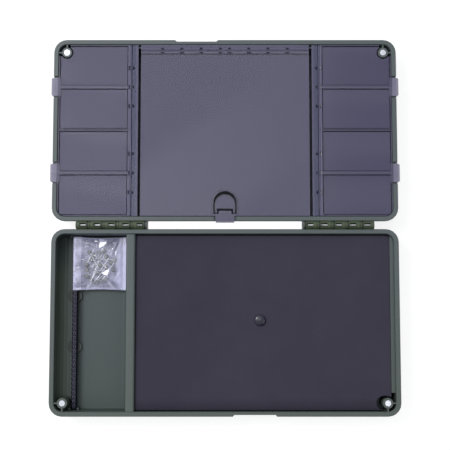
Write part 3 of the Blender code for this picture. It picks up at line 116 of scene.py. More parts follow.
class Tree:
    """Short calls for building a material's nodes."""

    def __init__(self, name, blend=False, sky=None):
        self.mat = sky or bpy.data.materials.new(name)
        self.mat.use_nodes = True
        self.nodes = self.mat.node_tree.nodes
        self.links = self.mat.node_tree.links
        if sky:
            self.nodes.clear()
            return
        self.shader = self.nodes["Principled BSDF"]
        if blend:
            self.mat.surface_render_method = "BLENDED"

    def add(self, kind, **values):
        """A node of one kind, with its input sockets or its own settings filled in."""
        node = self.nodes.new("ShaderNode" + kind)
        for key, value in values.items():
            if key in node.inputs:
                node.inputs[key].default_value = value
            else:
                setattr(node, key, value)
        return node

    def link(self, out, into):
        self.links.new(out, into)

    def feed(self, name, out):
        """Links a value to one of the shader's inputs."""
        self.links.new(out, self.shader.inputs[name])

    def set(self, **values):
        """Sets the shader's inputs; an underscore stands for a space."""
        for key, value in values.items():
            self.shader.inputs[key.replace("_", " ")].default_value = value

    def fill(self, socket, value):
        """Sets a socket to a number or a colour, or links it to another node's output."""
        if isinstance(value, (int, float)):
            socket.default_value = value
        elif isinstance(value, tuple):
            socket.default_value = tone(value)
        else:
            self.link(value, socket)

    def place(self, scale=(1, 1, 1)):
        """The object's own coordinates, stretched by scale."""
        coord = self.add("TexCoord")
        mapping = self.add("Mapping", Scale=scale)
        self.link(coord.outputs["Object"], mapping.inputs["Vector"])
        return mapping.outputs["Vector"]

    def noise(self, scale, detail=4, stretch=(1, 1, 1)):
        node = self.add("TexNoise", Scale=scale, Detail=detail, Roughness=0.55)
        self.link(self.place(stretch), node.inputs["Vector"])
        return node.outputs["Fac"]

    def ramp(self, value, stops):
        node = self.add("ValToRGB")
        self.link(value, node.inputs["Fac"])
        ramp = node.color_ramp
        while len(ramp.elements) > 1:
            ramp.elements.remove(ramp.elements[-1])
        ramp.elements[0].position = stops[0][0]
        ramp.elements[0].color = tone(stops[0][1])
        for position, colour in stops[1:]:
            ramp.elements.new(position).color = tone(colour)
        return node.outputs["Color"]

    def range(self, value, low, high, start=0.3, end=0.7):
        """Low where the value is at start, high where it is at end, and even between the two."""
        node = self.add("MapRange")
        for key, number in (("From Min", start), ("From Max", end), ("To Min", low), ("To Max", high)):
            node.inputs[key].default_value = number
        self.link(value, node.inputs["Value"])
        return node.outputs["Result"]

    def past(self, value, ends):
        """0 before the two ends and 1 past them."""
        return self.range(value, 0, 1, *ends)

    def short_of(self, value, ends):
        """1 before the two ends and 0 past them."""
        return self.range(value, 1, 0, *ends)

    def between(self, value, low, high):
        """1 from the pair of low ends to the pair of high ends, and 0 outside."""
        return self.product(self.past(value, low), self.short_of(value, high))

    def mix(self, factor, a, b, kind="MIX"):
        node = self.add("Mix", data_type="RGBA", blend_type=kind)
        for socket, value in ((node.inputs[0], factor), (node.inputs[6], a), (node.inputs[7], b)):
            self.fill(socket, value)
        return node.outputs[2]

    def math(self, kind, a, b=None, clamp=False):
        node = self.add("Math", operation=kind, use_clamp=clamp)
        for socket, value in zip(node.inputs, (a, b)):
            if value is not None:
                self.fill(socket, value)
        return node.outputs[0]

    def product(self, first, *others):
        for other in others:
            first = self.math("MULTIPLY", first, other)
        return first

    def size(self, value):
        return self.math("ABSOLUTE", value)

    def away(self, value, middle):
        """How far a value lies from the middle."""
        return self.size(self.math("SUBTRACT", value, middle))

    def length(self, a, b):
        """The length of the line whose parts are a and b."""
        return self.math("SQRT", self.math("ADD", self.product(a, a), self.product(b, b)))

    def axes(self, kind="Object"):
        """The three parts of the object's own coordinates, or of its own normal."""
        coord, parts = self.add("TexCoord"), self.add("SeparateXYZ")
        self.link(coord.outputs[kind], parts.inputs[0])
        return parts.outputs

    def mark(self, name):
        """A value that the mesh itself carries."""
        return self.add("Attribute", attribute_name=name).outputs["Fac"]

    def steep(self, start=0.35, end=0.9):
        """1 on upright faces and 0 on level ones, in the object's own directions."""
        return self.short_of(self.size(self.axes("Normal")[2]), (start, end))

    def bump(self, heights):
        """Chains height maps, each a (value, distance, strength) triple, into the normal."""
        normal = None
        for height, distance, strength in heights:
            node = self.add("Bump", Strength=strength, Distance=distance)
            self.link(height, node.inputs["Height"])
            if normal:
                self.link(normal, node.inputs["Normal"])
            normal = node.outputs["Normal"]
        self.feed("Normal", normal)


def tone(colour):
    return tuple(colour) + (1,) * (4 - len(colour))


# Materials

def green_plastic():
    t = Tree("green_plastic")
    cloud = t.noise(9, 3)
    colour = t.ramp(cloud, [(0.3, (0.084, 0.104, 0.105)), (0.7, (0.097, 0.117, 0.119))])
    colour = t.mix(t.range(t.noise(1400, 2), 0, 0.22), colour, (0.063, 0.078, 0.077))
    x, y, z = t.axes()
    wide, deep = t.size(x), t.size(y)
    # Painted shading: a greener cast towards the front of the base, where less of the grey sheen is reflected.
    colour = t.mix(t.range(y, 0.55, 0, *GREENER_Y), colour, (0.084, 0.106, 0.082))
    # Painted shade: deep in the compartments the walls take in little light, and those of the base the least.
    inside = t.product(t.short_of(wide, INNER_X), t.short_of(t.away(deep, HALF_MIDDLE_Y), INNER_REACH))
    dark = t.product(t.steep(), inside, t.range(z, 1, 0.25, *WALL_Z), t.range(y, 1, 0.5, *BASE_Y))
    colour = t.mix(t.product(dark, 0.46), colour, (0.022, 0.036, 0.020))
    # Painted light on the coved side of the hook compartment, which is also spared the floor's painted shade.
    cove = t.product(t.short_of(x, COVE_X), t.short_of(y, COVE_Y), inside, t.short_of(z, COVE_Z))
    colour = t.mix(t.product(cove, 0.6), colour, (0.120, 0.158, 0.125))
    # Painted shade: the floor of the base is darker and bluer than its rim.
    floor = t.product(inside, t.range(z, 0.74, 0, *FLOOR_Z), t.short_of(y, BASE_Y), t.math("SUBTRACT", 1, cove))
    colour = t.mix(floor, colour, (0.036, 0.056, 0.056))
    # Painted shadow on the saddles under the rack, where little light falls.
    along = t.math("SUBTRACT", t.away(y, SADDLE_Y), SADDLE_HALF)
    spot = t.length(along, t.math("SUBTRACT", x, SADDLE_X))
    spot = t.product(t.range(spot, 0.9, 0, *SADDLE_REACH), t.short_of(y, SADDLE_END_Y))
    colour = t.mix(spot, colour, (0.014, 0.020, 0.014))
    # Painted shading: the knuckles are a fresher green, where less of the grey sheen is reflected, with painted
    # shade in the gap between one knuckle and the next.
    hinge = t.product(t.short_of(deep, KNUCKLE_REACH), t.short_of(t.away(wide, HINGE_X), KNUCKLES_HALF))
    colour = t.mix(t.product(hinge, 0.9), colour, (0.066, 0.090, 0.044))
    place = t.math("DIVIDE", t.math("SUBTRACT", wide, HINGE_X), KNUCKLE_PITCH)
    place = t.away(t.math("FRACT", t.math("ADD", place, KNUCKLE_SHIFT)), 0.5)
    colour = t.mix(t.product(hinge, t.range(place, 0, 0.95, *KNUCKLE_JOINT)), colour, (0.010, 0.015, 0.008))
    # Painted shade: the knuckles' windows are dark round their rods.
    pocket = t.product(t.short_of(deep, POCKET_REACH), t.short_of(z, POCKET_Z))
    t.feed("Base Color", t.mix(pocket, colour, (0.006, 0.007, 0.007)))
    t.feed("Roughness", t.range(cloud, 0.42, 0.52))
    t.bump([(t.noise(2600, 2), 0.00003, 0.35), (t.noise(60, 2), 0.0002, 0.06)])
    return t.mat


def deeper(share):
    """The smoked plastic's colour scaled by a share: a random tone, or darkened as painted shade."""
    return tuple(c * share for c in SMOKE)


def from_arch(t, x, y, arch_y):
    """Distance from the middle line, and past arch_y from the end of it, so that equal distances form an arch."""
    return t.length(x, t.math("MAXIMUM", t.math("SUBTRACT", y, arch_y), 0))


def side_detail(t, shade):
    """Raised borders look paler than the sunk panels, and the thin latch tabs palest; a painted highlight runs
    along the hinge edge, and painted shade darkens the steep faces.
    """
    x, _, z = t.axes()
    wide = t.size(x)
    shade = t.mix(t.range(z, 0, 0.55, *BORDER_Z), shade, (0.125, 0.118, 0.185))
    shade = t.mix(t.range(wide, 0.9, 0, *SIDE_EDGE_X), shade, (0.165, 0.158, 0.265))
    shade = t.mix(t.steep(0.66, 0.9), shade, deeper(0.16))
    return t.mix(t.range(wide, 0, 0.85, *TAB_X), shade, (0.260, 0.249, 0.345))


def strip_detail(t, shade):
    """The strips that hold the covers' rods are a little paler, with a blue groove of painted shade and painted
    shade on their steep faces.
    """
    wide = t.size(t.axes()[0])
    shade = t.mix(1.0, shade, (1.14, 1.12, 1.16), "MULTIPLY")
    shade = t.mix(t.between(wide, *GROOVE_X), shade, (0.064, 0.066, 0.140))
    return t.mix(t.steep(0.5, 0.9), shade, deeper(0.25))


def centre_detail(t, shade):
    """A painted highlight along the hinge edge with a line of painted shade before it, a fine line of painted shade
    round the pull's opening, and painted shade on the steep faces.
    """
    x, y, _ = t.axes()
    shade = t.mix(t.range(y, 0, 0.9, *CENTRE_EDGE_Y), shade, (0.170, 0.160, 0.245))
    shade = t.mix(t.product(t.between(y, *CENTRE_LINE_Y), 0.85), shade, deeper(0.2))
    line = t.product(t.between(from_arch(t, x, y, COLLAR_ARCH_Y), *COLLAR_LINE), t.short_of(y, COLLAR_FOOT_Y))
    shade = t.mix(t.product(line, 0.8), shade, deeper(0.25))
    return t.mix(t.steep(0.5, 0.9), shade, deeper(0.2))


def pull_detail(t, shade):
    """The finger pull has a rim of painted shade, and painted shade on its steep faces."""
    x, y, _ = t.axes()
    rim = t.range(from_arch(t, x, y, PULL_ARCH_Y), 0, 0.95, *PULL_RIM)
    shade = t.mix(rim, shade, deeper(0.12))
    return t.mix(t.steep(0.5, 0.9), shade, deeper(0.2))


def smoked_plastic(name, detail, rough=(0.09, 0.12), dished=False):
    """Clear smoked plastic; a dished cover's panels reflect as if each sank a little."""
    t = Tree(name, blend=True)
    shade = t.ramp(t.noise(7, 2), [(0.3, deeper(0.95)), (0.7, deeper(1.05))])
    t.feed("Base Color", detail(t, shade))
    t.set(Alpha=0.74, IOR=1.5)
    t.feed("Roughness", t.range(t.noise(30, 3), *rough))
    heights = [(t.noise(9, 2), 0.0012, 0.16)]
    if dished:
        share = t.math("DIVIDE", t.math("SUBTRACT", t.axes()[1], CELL_START_Y), CELL_PITCH)
        share = t.math("FRACT", share)
        bowl = t.product(share, t.math("SUBTRACT", 1, share), -4)
        heights.insert(0, (bowl, DISH_DEPTH, 1.0))
    t.bump(heights)
    return t.mat


def board_foam():
    t = Tree("board_foam")
    cells = t.add("TexVoronoi", Scale=1700)
    t.link(t.place(), cells.inputs["Vector"])
    pores = cells.outputs["Distance"]
    colour = t.ramp(t.noise(22, 5), [(0.3, (0.040, 0.037, 0.056)), (0.7, (0.049, 0.045, 0.067))])
    colour = t.mix(t.range(pores, 0.35, 0, 0.0, 0.6), colour, (0.030, 0.027, 0.042))
    # Painted shade: the board is darker along its front edge and on its sides.
    colour = t.mix(t.range(t.axes()[1], 0.62, 0, *BOARD_FRONT_Y), colour, (0.014, 0.012, 0.022))
    t.feed("Base Color", t.mix(t.steep(), colour, (0.008, 0.008, 0.012)))
    t.set(Roughness=0.92, Sheen_Weight=0.08, Sheen_Roughness=0.6, Specular_IOR_Level=0.25)
    t.bump([(pores, 0.00012, 0.5), (t.noise(420, 3), 0.0001, 0.25)])
    return t.mat


def dark_gloss():
    t = Tree("dark_plastic")
    t.feed("Base Color", t.ramp(t.noise(80, 2), [(0.3, (0.017, 0.018, 0.032)), (0.7, (0.023, 0.024, 0.042))]))
    t.feed("Roughness", t.range(t.noise(300, 2), 0.12, 0.2))
    t.bump([(t.noise(500, 2), 0.00002, 0.1)])
    return t.mat


def rack_plastic():
    """Dark plastic with paler rings round the hook eyes as a painted highlight, and painted deep shade below the
    head.
    """
    t = Tree("rack_plastic")
    x, _, z = t.axes()
    ring = tuple(RACK_TOP - drop for drop in RACK_RING_DROP)
    shade = tuple(RACK_TOP - drop for drop in RACK_SHADE_DROP)
    colour = t.ramp(t.noise(200, 3), [(0.3, (0.018, 0.018, 0.034)), (0.7, (0.026, 0.025, 0.044))])
    colour = t.mix(t.past(z, ring), colour, (0.105, 0.100, 0.155))
    colour = t.mix(t.past(t.away(x, RACK_X), RACK_FACE), colour, (0.020, 0.018, 0.042))
    t.feed("Base Color", t.mix(t.short_of(z, shade), colour, (0.004, 0.004, 0.010)))
    t.set(Specular_IOR_Level=0.2)
    t.feed("Roughness", t.range(t.noise(90, 2), 0.32, 0.42))
    t.bump([(t.noise(2000, 2), 0.00002, 0.3)])
    return t.mat


def metal(name, colour, low, high, stretch=(1, 1, 1), metallic=1.0):
    """Metal whose roughness runs from low to high with its grain."""
    t = Tree(name)
    grain = t.noise(900, 3, stretch)
    t.feed("Base Color", t.ramp(grain, [(0.3, tuple(c * 0.9 for c in colour)), (0.7, colour)]))
    t.set(Metallic=metallic)
    t.feed("Roughness", t.range(grain, low, high))
    t.bump([(grain, 0.00001, 0.2)])
    return t.mat


def pearl_head():
    t = Tree("pearl_head")
    t.feed("Base Color", t.ramp(t.noise(260, 2), [(0.35, (0.16, 0.17, 0.13)), (0.65, (0.30, 0.31, 0.26))]))
    t.set(Subsurface_Weight=0.15, Subsurface_Radius=(0.002, 0.002, 0.0015), Coat_Weight=0.3)
    t.feed("Roughness", t.range(t.noise(500, 2), 0.25, 0.35))
    t.bump([(t.noise(900, 2), 0.00002, 0.2)])
    return t.mat


def clear_film(name, thin, thick, low, high, ior=1.5):
    """Film that is clearest over the pins.

    The mesh marks where it is sealed (seam), sinks (valley), stands (ridge) or is free of ripples (taut). Valleys
    carry painted shade and ridges a painted highlight; the taut facets, which catch the lamp's reflection, are made
    more opaque as well, a painted highlight over the real one.
    """
    t = Tree(name, blend=True)
    cloud = t.noise(90, 3)
    taut, seam, valley, ridge = (t.mark(mark) for mark in FILM_MARKS)
    colour = t.ramp(cloud, [(0.3, low), (0.7, high)])
    alpha = t.range(cloud, thin, thick)
    # The seams are paler, the valleys carry painted shade and the ridges a painted highlight.
    for mark, share, tint, cover in (
        (seam, 0.75, (0.68, 0.68, 0.98), 0.45),
        (valley, 0.9, (0.130, 0.140, 0.240), 0.6),
        (ridge, 0.7, (0.78, 0.78, 0.98), 0.3),
    ):
        colour = t.mix(t.product(mark, share), colour, tint)
        alpha = t.math("ADD", alpha, t.product(mark, cover))
    t.feed("Base Color", colour)
    # The taut facets are more opaque: a painted highlight over their real reflection.
    t.feed("Alpha", t.math("ADD", alpha, t.product(taut, 0.65), True))
    t.set(Roughness=0.1, IOR=ior, Coat_Weight=1.0, Coat_Roughness=0.06)
    loose = t.math("SUBTRACT", 1, taut)
    t.bump([(t.product(t.noise(110, 3), loose), 0.0006, 0.35), (t.product(t.noise(700, 2), loose), 0.00005, 0.2)])
    return t.mat


GREEN = green_plastic()
DARK = dark_gloss()
RACK = rack_plastic()
DISHED = smoked_plastic("smoked_dished", side_detail, dished=True)
STRIP = smoked_plastic("smoked_strip", strip_detail)
STEEL = metal("bright_steel", (0.72, 0.72, 0.76), 0.16, 0.28, (0.1, 6, 6))
NICKEL = metal("nickel", (0.86, 0.88, 0.92), 0.1, 0.2)
SHAFT = metal("pin_steel", (0.92, 0.92, 0.95), 0.3, 0.4)
ROD = metal("rod_steel", (0.95, 0.95, 0.97), 0.42, 0.52, metallic=0.5)
PEARL = pearl_head()
FILM = clear_film("film_top", 0.12, 0.24, (0.55, 0.55, 0.74), (0.66, 0.66, 0.86), 1.9)
UNDER = clear_film("film_under", 0.50, 1.0, (0.36, 0.36, 0.54), (0.50, 0.50, 0.71))
SEAL = clear_film("film_seal", 0.5, 0.7, (0.62, 0.62, 0.82), (0.72, 0.72, 0.9))
BY_NAME = {
    "base_tray": GREEN,
    "lid_shell": GREEN,
    "rig_board": board_foam(),
    "board_stud": DARK,
    "stud_washer": STEEL,
    "hook_rack": RACK,
    "centre_cover": smoked_plastic("smoked_centre", centre_detail, rough=(0.05, 0.07)),
    "cover_pull": smoked_plastic("smoked_pull", pull_detail),
    "pin_bag": FILM,
}
BY_ENDING = {"_rear_cover": DISHED, "_front_cover": DISHED, "_strip": STRIP, "_magnet": NICKEL, "_hinge_pin": STEEL}

for name, obj in NODES.items():
    material = BY_NAME.get(name)
    for ending, kind in BY_ENDING.items():
        if name.endswith(ending):
            material = kind
    if name.startswith("rig_pin_"):
        material = PEARL
    obj.data.materials.clear()
    obj.data.materials.append(material)


# The bag of pins

FILM_LOW, FILM_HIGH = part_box("pin_bag")
BAG_WIDTH = FILM_HIGH.x - FILM_LOW.x
BAG_HEIGHT = FILM_HIGH.y - FILM_LOW.y
# Shares of the bag's width: the flat flap at the left, the ramp beside it and the sealed band at the right.
FLAP = 0.145
RAMP = 0.1
BAND = 0.107
# Heights in metres: how far the under film sinks, where the hems lie on the flap and beyond it, and the top film's
# level, then half the gap between the films at their hems, and the ripples' height.
BULGE = 0.0046
MIDDLE_HIGH = 0.0133
MIDDLE_LOW = 0.0077
TOP_LEVEL = 0.0127
HEM_GAP = 0.0003
RIPPLE = 0.0006
# Ripples across the bag's width.
RIPPLE_COUNT = 9
# How far the hems wave sideways and draw in, and the room left under and over the film.
HEM_WAVE = 0.0005
HEM_DRAW = 0.0009
ROOM_UNDER = 0.0002
ROOM_OVER = 0.0012
# Shares of the bag over which the seal fades at the left, right, top and bottom, and where it begins at the right.
SEAL_LEFT, SEAL_RIGHT, SEAL_TOP, SEAL_BOTTOM = 0.05, 0.10, 0.08, 0.06
SEAL_START = 0.87
FILM_STEPS = 100
# The heat seals: the start and the end of each, as shares across and along the bag.
SEALS = {
    "top": ((0, 0.012), (1, 0.012)), "bottom": ((0, 0.985), (1, 0.985)),
    "left": ((0.012, 0), (0.012, 1)), "right": ((0.985, 0), (0.985, 1)),
    "band": ((0.905, 0.01), (0.905, 0.99)),
}
SEAL_STEPS = 40
SEAL_RADIUS = 0.00035
SEAL_RISE = 0.0001
# Shares by which the normals of the sealed border and of the under film are levelled.
SEAM_LEVEL = 0.8
UNDER_LEVEL = 0.85
# Creases of the top film: start, end (shares across and along the bag), height in mm, half width in mm.
CREASES = (
    ((0.02, 0.03), (0.22, 0.14), -2.2, 3.4), ((0.05, 0.02), (0.40, 0.26), 0.9, 2.4),
    ((0.88, 0.03), (0.76, 0.30), -1.5, 3.0), ((0.82, 0.02), (0.66, 0.10), -1.0, 2.4),
    ((0.80, 0.12), (0.70, 0.36), 1.0, 1.8), ((0.05, 0.97), (0.25, 0.82), -1.2, 3.0),
    ((0.26, 0.99), (0.34, 0.86), 1.2, 2.0), ((0.86, 0.97), (0.66, 0.80), -1.7, 3.4),
    ((0.62, 0.78), (0.76, 0.98), 1.2, 1.8), ((0.88, 0.34), (0.80, 0.60), 0.8, 2.0),
    ((0.02, 0.30), (0.16, 0.42), -1.5, 2.2), ((0.02, 0.64), (0.14, 0.56), 1.1, 1.8),
    ((0.03, 0.80), (0.10, 0.72), -0.7, 2.0), ((0.50, 0.98), (0.56, 0.80), -0.9, 2.4),
    ((0.10, 0.12), (0.30, 0.20), 0.9, 1.8), ((0.30, 0.03), (0.42, 0.10), -0.9, 2.2),
    ((0.40, 0.97), (0.47, 0.86), 0.9, 1.8), ((0.86, 0.68), (0.78, 0.84), 0.8, 1.8),
)
# How the marks of a crease fade: across it, with its height in mm, and from its start along it.
CREASE_FADE = 1.25
CREASE_FULL = 1.2
CREASE_ENDS = (0.12, 0.76)
# Flat facets of the top film: corners (shares across and along the bag), slopes along X and Y, height in mm.
FACETS = (
    (((0.47, 0.01), (0.63, 0.06), (0.62, 0.13), (0.46, 0.22)), 0.181, -0.138, 4.2),
    (((0.51, 0.68), (0.69, 0.58), (0.64, 0.75)), 0.181, -0.138, 5.0),
)


def from_segment(p, a, b):
    """Distance of a point from a segment in mm, and how far along the segment it is."""
    size = BAG_WIDTH * 1000
    px, py, ax, ay, bx, by = (q * size for q in (*p, *a, *b))
    dx, dy = bx - ax, by - ay
    along = max(0, min(1, ((px - ax) * dx + (py - ay) * dy) / (dx * dx + dy * dy)))
    return math.hypot(px - ax - dx * along, py - ay - dy * along), along


def inside_share(point, corners):
    """1 well inside the corners' outline, 0 outside, and between the two within half a mm of it."""
    least, within = math.inf, False
    for (ax, ay), (bx, by) in zip(corners, corners[-1:] + corners[:-1]):
        least = min(least, from_segment(point, (ax, ay), (bx, by))[0])
        if (ay > point[1]) != (by > point[1]) and point[0] < (bx - ax) * (point[1] - ay) / (by - ay) + ax:
            within = not within
    return min(max((least if within else -least) + 0.5, 0), 1)


def swell(u, v):
    """How full the bag is at a point, from 0 at its hems to 1 at its middle."""
    inside = min(max((u - FLAP) / (1 - BAND - FLAP), 0), 1)
    return math.sqrt((1 - (2 * inside - 1) ** 4) * (1 - (2 * v - 1) ** 4))


def middle(u):
    """Height at which the hems meet: high on the flap, which lies over the rack, and low beyond it."""
    rise = min(max(1 - (u - FLAP) / RAMP, 0), 1)
    return MIDDLE_LOW + (MIDDLE_HIGH - MIDDLE_LOW) * rise * rise * (3 - 2 * rise)


def top_height(u, v):
    """Height of the top film, with its creases, ripples and flat facets."""
    inside = max(0, 2 * (u - FLAP) / (1 - BAND - FLAP) - 1)
    full = math.sqrt(max(0, 1 - inside ** 4) * (1 - (2 * v - 1) ** 4)) if u < 1 - BAND else 0
    z = middle(u) + HEM_GAP
    z += (TOP_LEVEL - z) * full
    # Creases and ripples fade out towards the top, bottom and right hems.
    edge = min(1, 9 * min(v, 1 - v)) * min(1, 12 * (1 - u))
    for start, end, height, half in CREASES:
        gap, along = from_segment((u, v), start, end)
        z += 0.001 * height * max(0, 1 - gap / half) * (1 - 0.5 * along) * edge
    z += RIPPLE * edge * noise.noise(Vector((u * RIPPLE_COUNT, v * RIPPLE_COUNT, 3)))
    for corners, slope_x, slope_y, height in FACETS:
        share = inside_share((u, v), corners)
        if share > 0:
            centre_u, centre_v = (sum(c[axis] for c in corners) / len(corners) for axis in (0, 1))
            plane = MIDDLE_LOW + height * 0.001
            plane += slope_x * BAG_WIDTH * (u - centre_u) - slope_y * BAG_HEIGHT * (v - centre_v)
            z += (plane - z) * share
    return z


def film_place(u, v, top):
    """A point of one film; the hems wave a little and draw in."""
    z = top_height(u, v) if top else middle(u) - HEM_GAP - BULGE * swell(u, v)
    x = FILM_LOW.x + BAG_WIDTH * u + HEM_WAVE * math.sin(v * 9 + 1) * (1 - abs(2 * u - 1)) * 0.5
    y = FILM_HIGH.y - BAG_HEIGHT * v
    y += HEM_DRAW * math.sin(math.pi * u) ** 2 * (1 if v > 0.5 else -1) * abs(2 * v - 1) ** 6
    return Vector((x, y, min(max(z, FILM_LOW.z + ROOM_UNDER), FILM_HIGH.z + ROOM_OVER)))


def seam_share(u, v):
    """1 on the sealed border and the right band, falling to 0 over the pins."""
    inner = min(u / SEAL_LEFT, (SEAL_START - u) / SEAL_RIGHT, v / SEAL_TOP, (1 - v) / SEAL_BOTTOM)
    return min(max(1 - inner, 0), 1)


def fold_shares(point):
    """How near a point lies to a crease that sinks and to one that stands, each from 0 to 1; they set the film's
    painted shade and painted highlight.
    """
    valley = ridge = 0
    for start, end, height, half in CREASES:
        away, along = from_segment(point, start, end)
        share = math.exp(-(away / half * CREASE_FADE) ** 2) * min(1, abs(height) / CREASE_FULL)
        share *= math.sin(math.pi * (CREASE_ENDS[0] + CREASE_ENDS[1] * along))
        if height < 0:
            valley = max(valley, share)
        else:
            ridge = max(ridge, share)
    return valley, ridge


def new_piece(name, points, faces, material):
    """A mesh object, smooth apart from its faces of five sides and more."""
    mesh = bpy.data.meshes.new(name)
    mesh.from_pydata(points, [], faces)
    mesh.validate()
    for face in mesh.polygons:
        face.use_smooth = len(face.vertices) < 5
    obj = bpy.data.objects.new(name, mesh)
    bpy.context.scene.collection.objects.link(obj)
    mesh.materials.append(material)
    return obj


def bag_film(name, top, material):
    """One film of the bag as a fine grid, with its marks and its levelled normals."""
    row = FILM_STEPS + 1
    shares = [(i / FILM_STEPS, j / FILM_STEPS) for j in range(row) for i in range(row)]
    faces = []
    for j in range(FILM_STEPS):
        for i in range(FILM_STEPS):
            a = j * row + i
            b, c, d = a + 1, a + row + 1, a + row
            faces.append((a, d, c, b) if top else (a, b, c, d))
    film = new_piece(name, [film_place(u, v, top) for u, v in shares], faces, material)
    for mark in FILM_MARKS:
        film.data.attributes.new(mark, "FLOAT", "POINT")
    taut, seam, valley, ridge = (film.data.attributes[mark].data for mark in FILM_MARKS)
    for index, place in enumerate(shares):
        taut[index].value = max(inside_share(place, facet[0]) for facet in FACETS)
        seam[index].value = seam_share(*place)
        if top:
            valley[index].value, ridge[index].value = fold_shares(place)
    # Light scatters through the film, so the folds of the under film and of the seams show little shade.
    level = Vector((0, 0, 1 if top else -1))
    levelled = [SEAM_LEVEL * mark.value if top else UNDER_LEVEL for mark in seam]
    normals = [v.normal.lerp(level, share).normalized() for v, share in zip(film.data.vertices, levelled)]
    film.data.normals_split_custom_set_from_vertices(normals)
    return film


def seals():
    """The heat seals: a narrow pressed ribbon along each edge, and one along the band."""
    ribs = []
    for name, (start, end) in SEALS.items():
        curve = bpy.data.curves.new("film_seal_" + name, "CURVE")
        curve.dimensions = "3D"
        curve.bevel_depth = SEAL_RADIUS
        curve.bevel_resolution = 2
        spline = curve.splines.new("POLY")
        spline.points.add(SEAL_STEPS)
        for i, point in enumerate(spline.points):
            u, v = (a + (b - a) * i / SEAL_STEPS for a, b in zip(start, end))
            point.co = (*(film_place(u, v, True) + Vector((0, 0, SEAL_RISE))), 1)
        obj = bpy.data.objects.new("film_seal_" + name, curve)
        bpy.context.scene.collection.objects.link(obj)
        curve.materials.append(SEAL)
        ribs.append(obj)
    return ribs


# Turned pieces and the rack

# The pins: head, collar, shaft and point. The two shares are how much of its half turn the head's outline leaves
# out at its pole, and how much it covers.
HEAD_RADIUS = 0.00247
HEAD_DEPTH = 0.0025
HEAD_RINGS = 14
HEAD_TRIM = (0.02, 0.96)
COLLAR_START = 0.93 * HEAD_RADIUS
COLLAR_RADIUS = 0.00055
COLLAR_LENGTH = 0.0003
SHAFT_RADIUS = 0.0004
SHAFT_EASE = 0.0003
TIP_LENGTH = 0.003
TIP_RADIUS = 0.00006
TIP_TRIM = 0.0001

# The rods' ends: share of the radius, and distance from the end.
ROD_END = ((0.6, 0), (0.9, 0.0001), (1, 0.0003))

# The stud: its seat's depth below the top, the stem's radius, and the dome's height, fullness and rings.
STUD_DROP = 0.0026
STUD_STEM = 0.0017
# The stud's rolled edge: share of the radius, and height over its seat.
STUD_EDGE = ((0.94, 0), (0.985, 0.0002), (1, 0.0005))
STUD_DOME = 0.0020
STUD_FULLNESS = 0.9
STUD_RINGS = 15

# The rack: the eyes' spacing and sides.
EYE_PITCH = 0.0047
EYE_SIDES = 24
# The ring round each eye, from its foot into the eye: radius, and height over the head's face.
EYE_PROFILE = ((0.00155, 0), (0.0014, 0.00022), (0.00100, 0.00022), (0.00072, -0.0001), (0.00066, -0.0018))
# Its head's face below the rings' top and its thickness, then half widths, and how the web meets the head.
HEAD_DROP = 0.0002
HEAD_THICKNESS = 0.003
NECK_HALF = 0.0024
FACE_HALF = 0.00185
WEB_HALF = 0.0019
WEB_END_GAP = 0.001
WEB_BITE = 0.0002
LOBE_STEPS = 10
# The lobes' rounding: how far out it bends, and how far it falls there and at the edge.
LOBE_BEND = 0.75
LOBE_BEND_DROP = 0.0007
LOBE_EDGE_DROP = 0.0013


def turn_to(way):
    """The rotation that lays the upright axis along a direction."""
    return Vector(way).to_track_quat("Z", "Y").to_matrix()


def lathe(name, turn, place, profile, sides, material):
    """A turned piece: the profile's (radius, height) pairs about the axis that turn gives."""
    points, faces = [], []
    for r, z in profile:
        for k in range(sides):
            a = 2 * math.pi * k / sides
            points.append(turn @ Vector((r * math.cos(a), r * math.sin(a), z)) + place)
    for j in range(len(profile) - 1):
        for k in range(sides):
            a, b = j * sides + k, j * sides + (k + 1) % sides
            faces.append((a, b, b + sides, a + sides))
    faces.append(tuple(reversed(range(sides))))
    faces.append(tuple(range(len(points) - sides, len(points))))
    return new_piece(name, points, faces, material)


def pin(node, number):
    """A ball-headed pin where its CAD node lies: a round head, and a steel shaft with a collar and a point."""
    points = [v.co for v in node.data.vertices]
    centre = sum(points, Vector()) / len(points)
    tip = max(points, key=lambda p: (p - centre).length)
    pole = max(points, key=lambda p: (p - tip).length)
    way = (tip - pole).normalized()
    head = pole + way * HEAD_DEPTH
    turn = turn_to(way)
    angles = [math.pi * (HEAD_TRIM[0] + HEAD_TRIM[1] * i / HEAD_RINGS) for i in range(HEAD_RINGS + 1)]
    ball = [(HEAD_RADIUS * math.sin(a), -HEAD_RADIUS * math.cos(a)) for a in angles]
    reach = (tip - head).length
    collar_end = HEAD_RADIUS + COLLAR_LENGTH
    shaft = [(COLLAR_RADIUS, COLLAR_START), (COLLAR_RADIUS, collar_end), (SHAFT_RADIUS, collar_end + SHAFT_EASE),
             (SHAFT_RADIUS, reach - TIP_LENGTH), (TIP_RADIUS, reach - TIP_TRIM)]
    return (lathe("pin_head_%02d" % number, turn, head, ball, 24, PEARL),
            lathe("pin_shaft_%02d" % number, turn, head, shaft, 10, SHAFT))


def hinge_rod(name):
    """A round rod with eased ends in place of the faceted one."""
    low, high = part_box(name)
    half, r = (high.x - low.x) / 2, (high.z - low.z) / 2
    end = [(r * share, half - gap) for share, gap in ROD_END]
    profile = [(radius, -height) for radius, height in end] + end[::-1]
    return lathe(name.replace("hinge_pin", "hinge_rod"), turn_to((1, 0, 0)), (low + high) / 2, profile, 32, ROD)


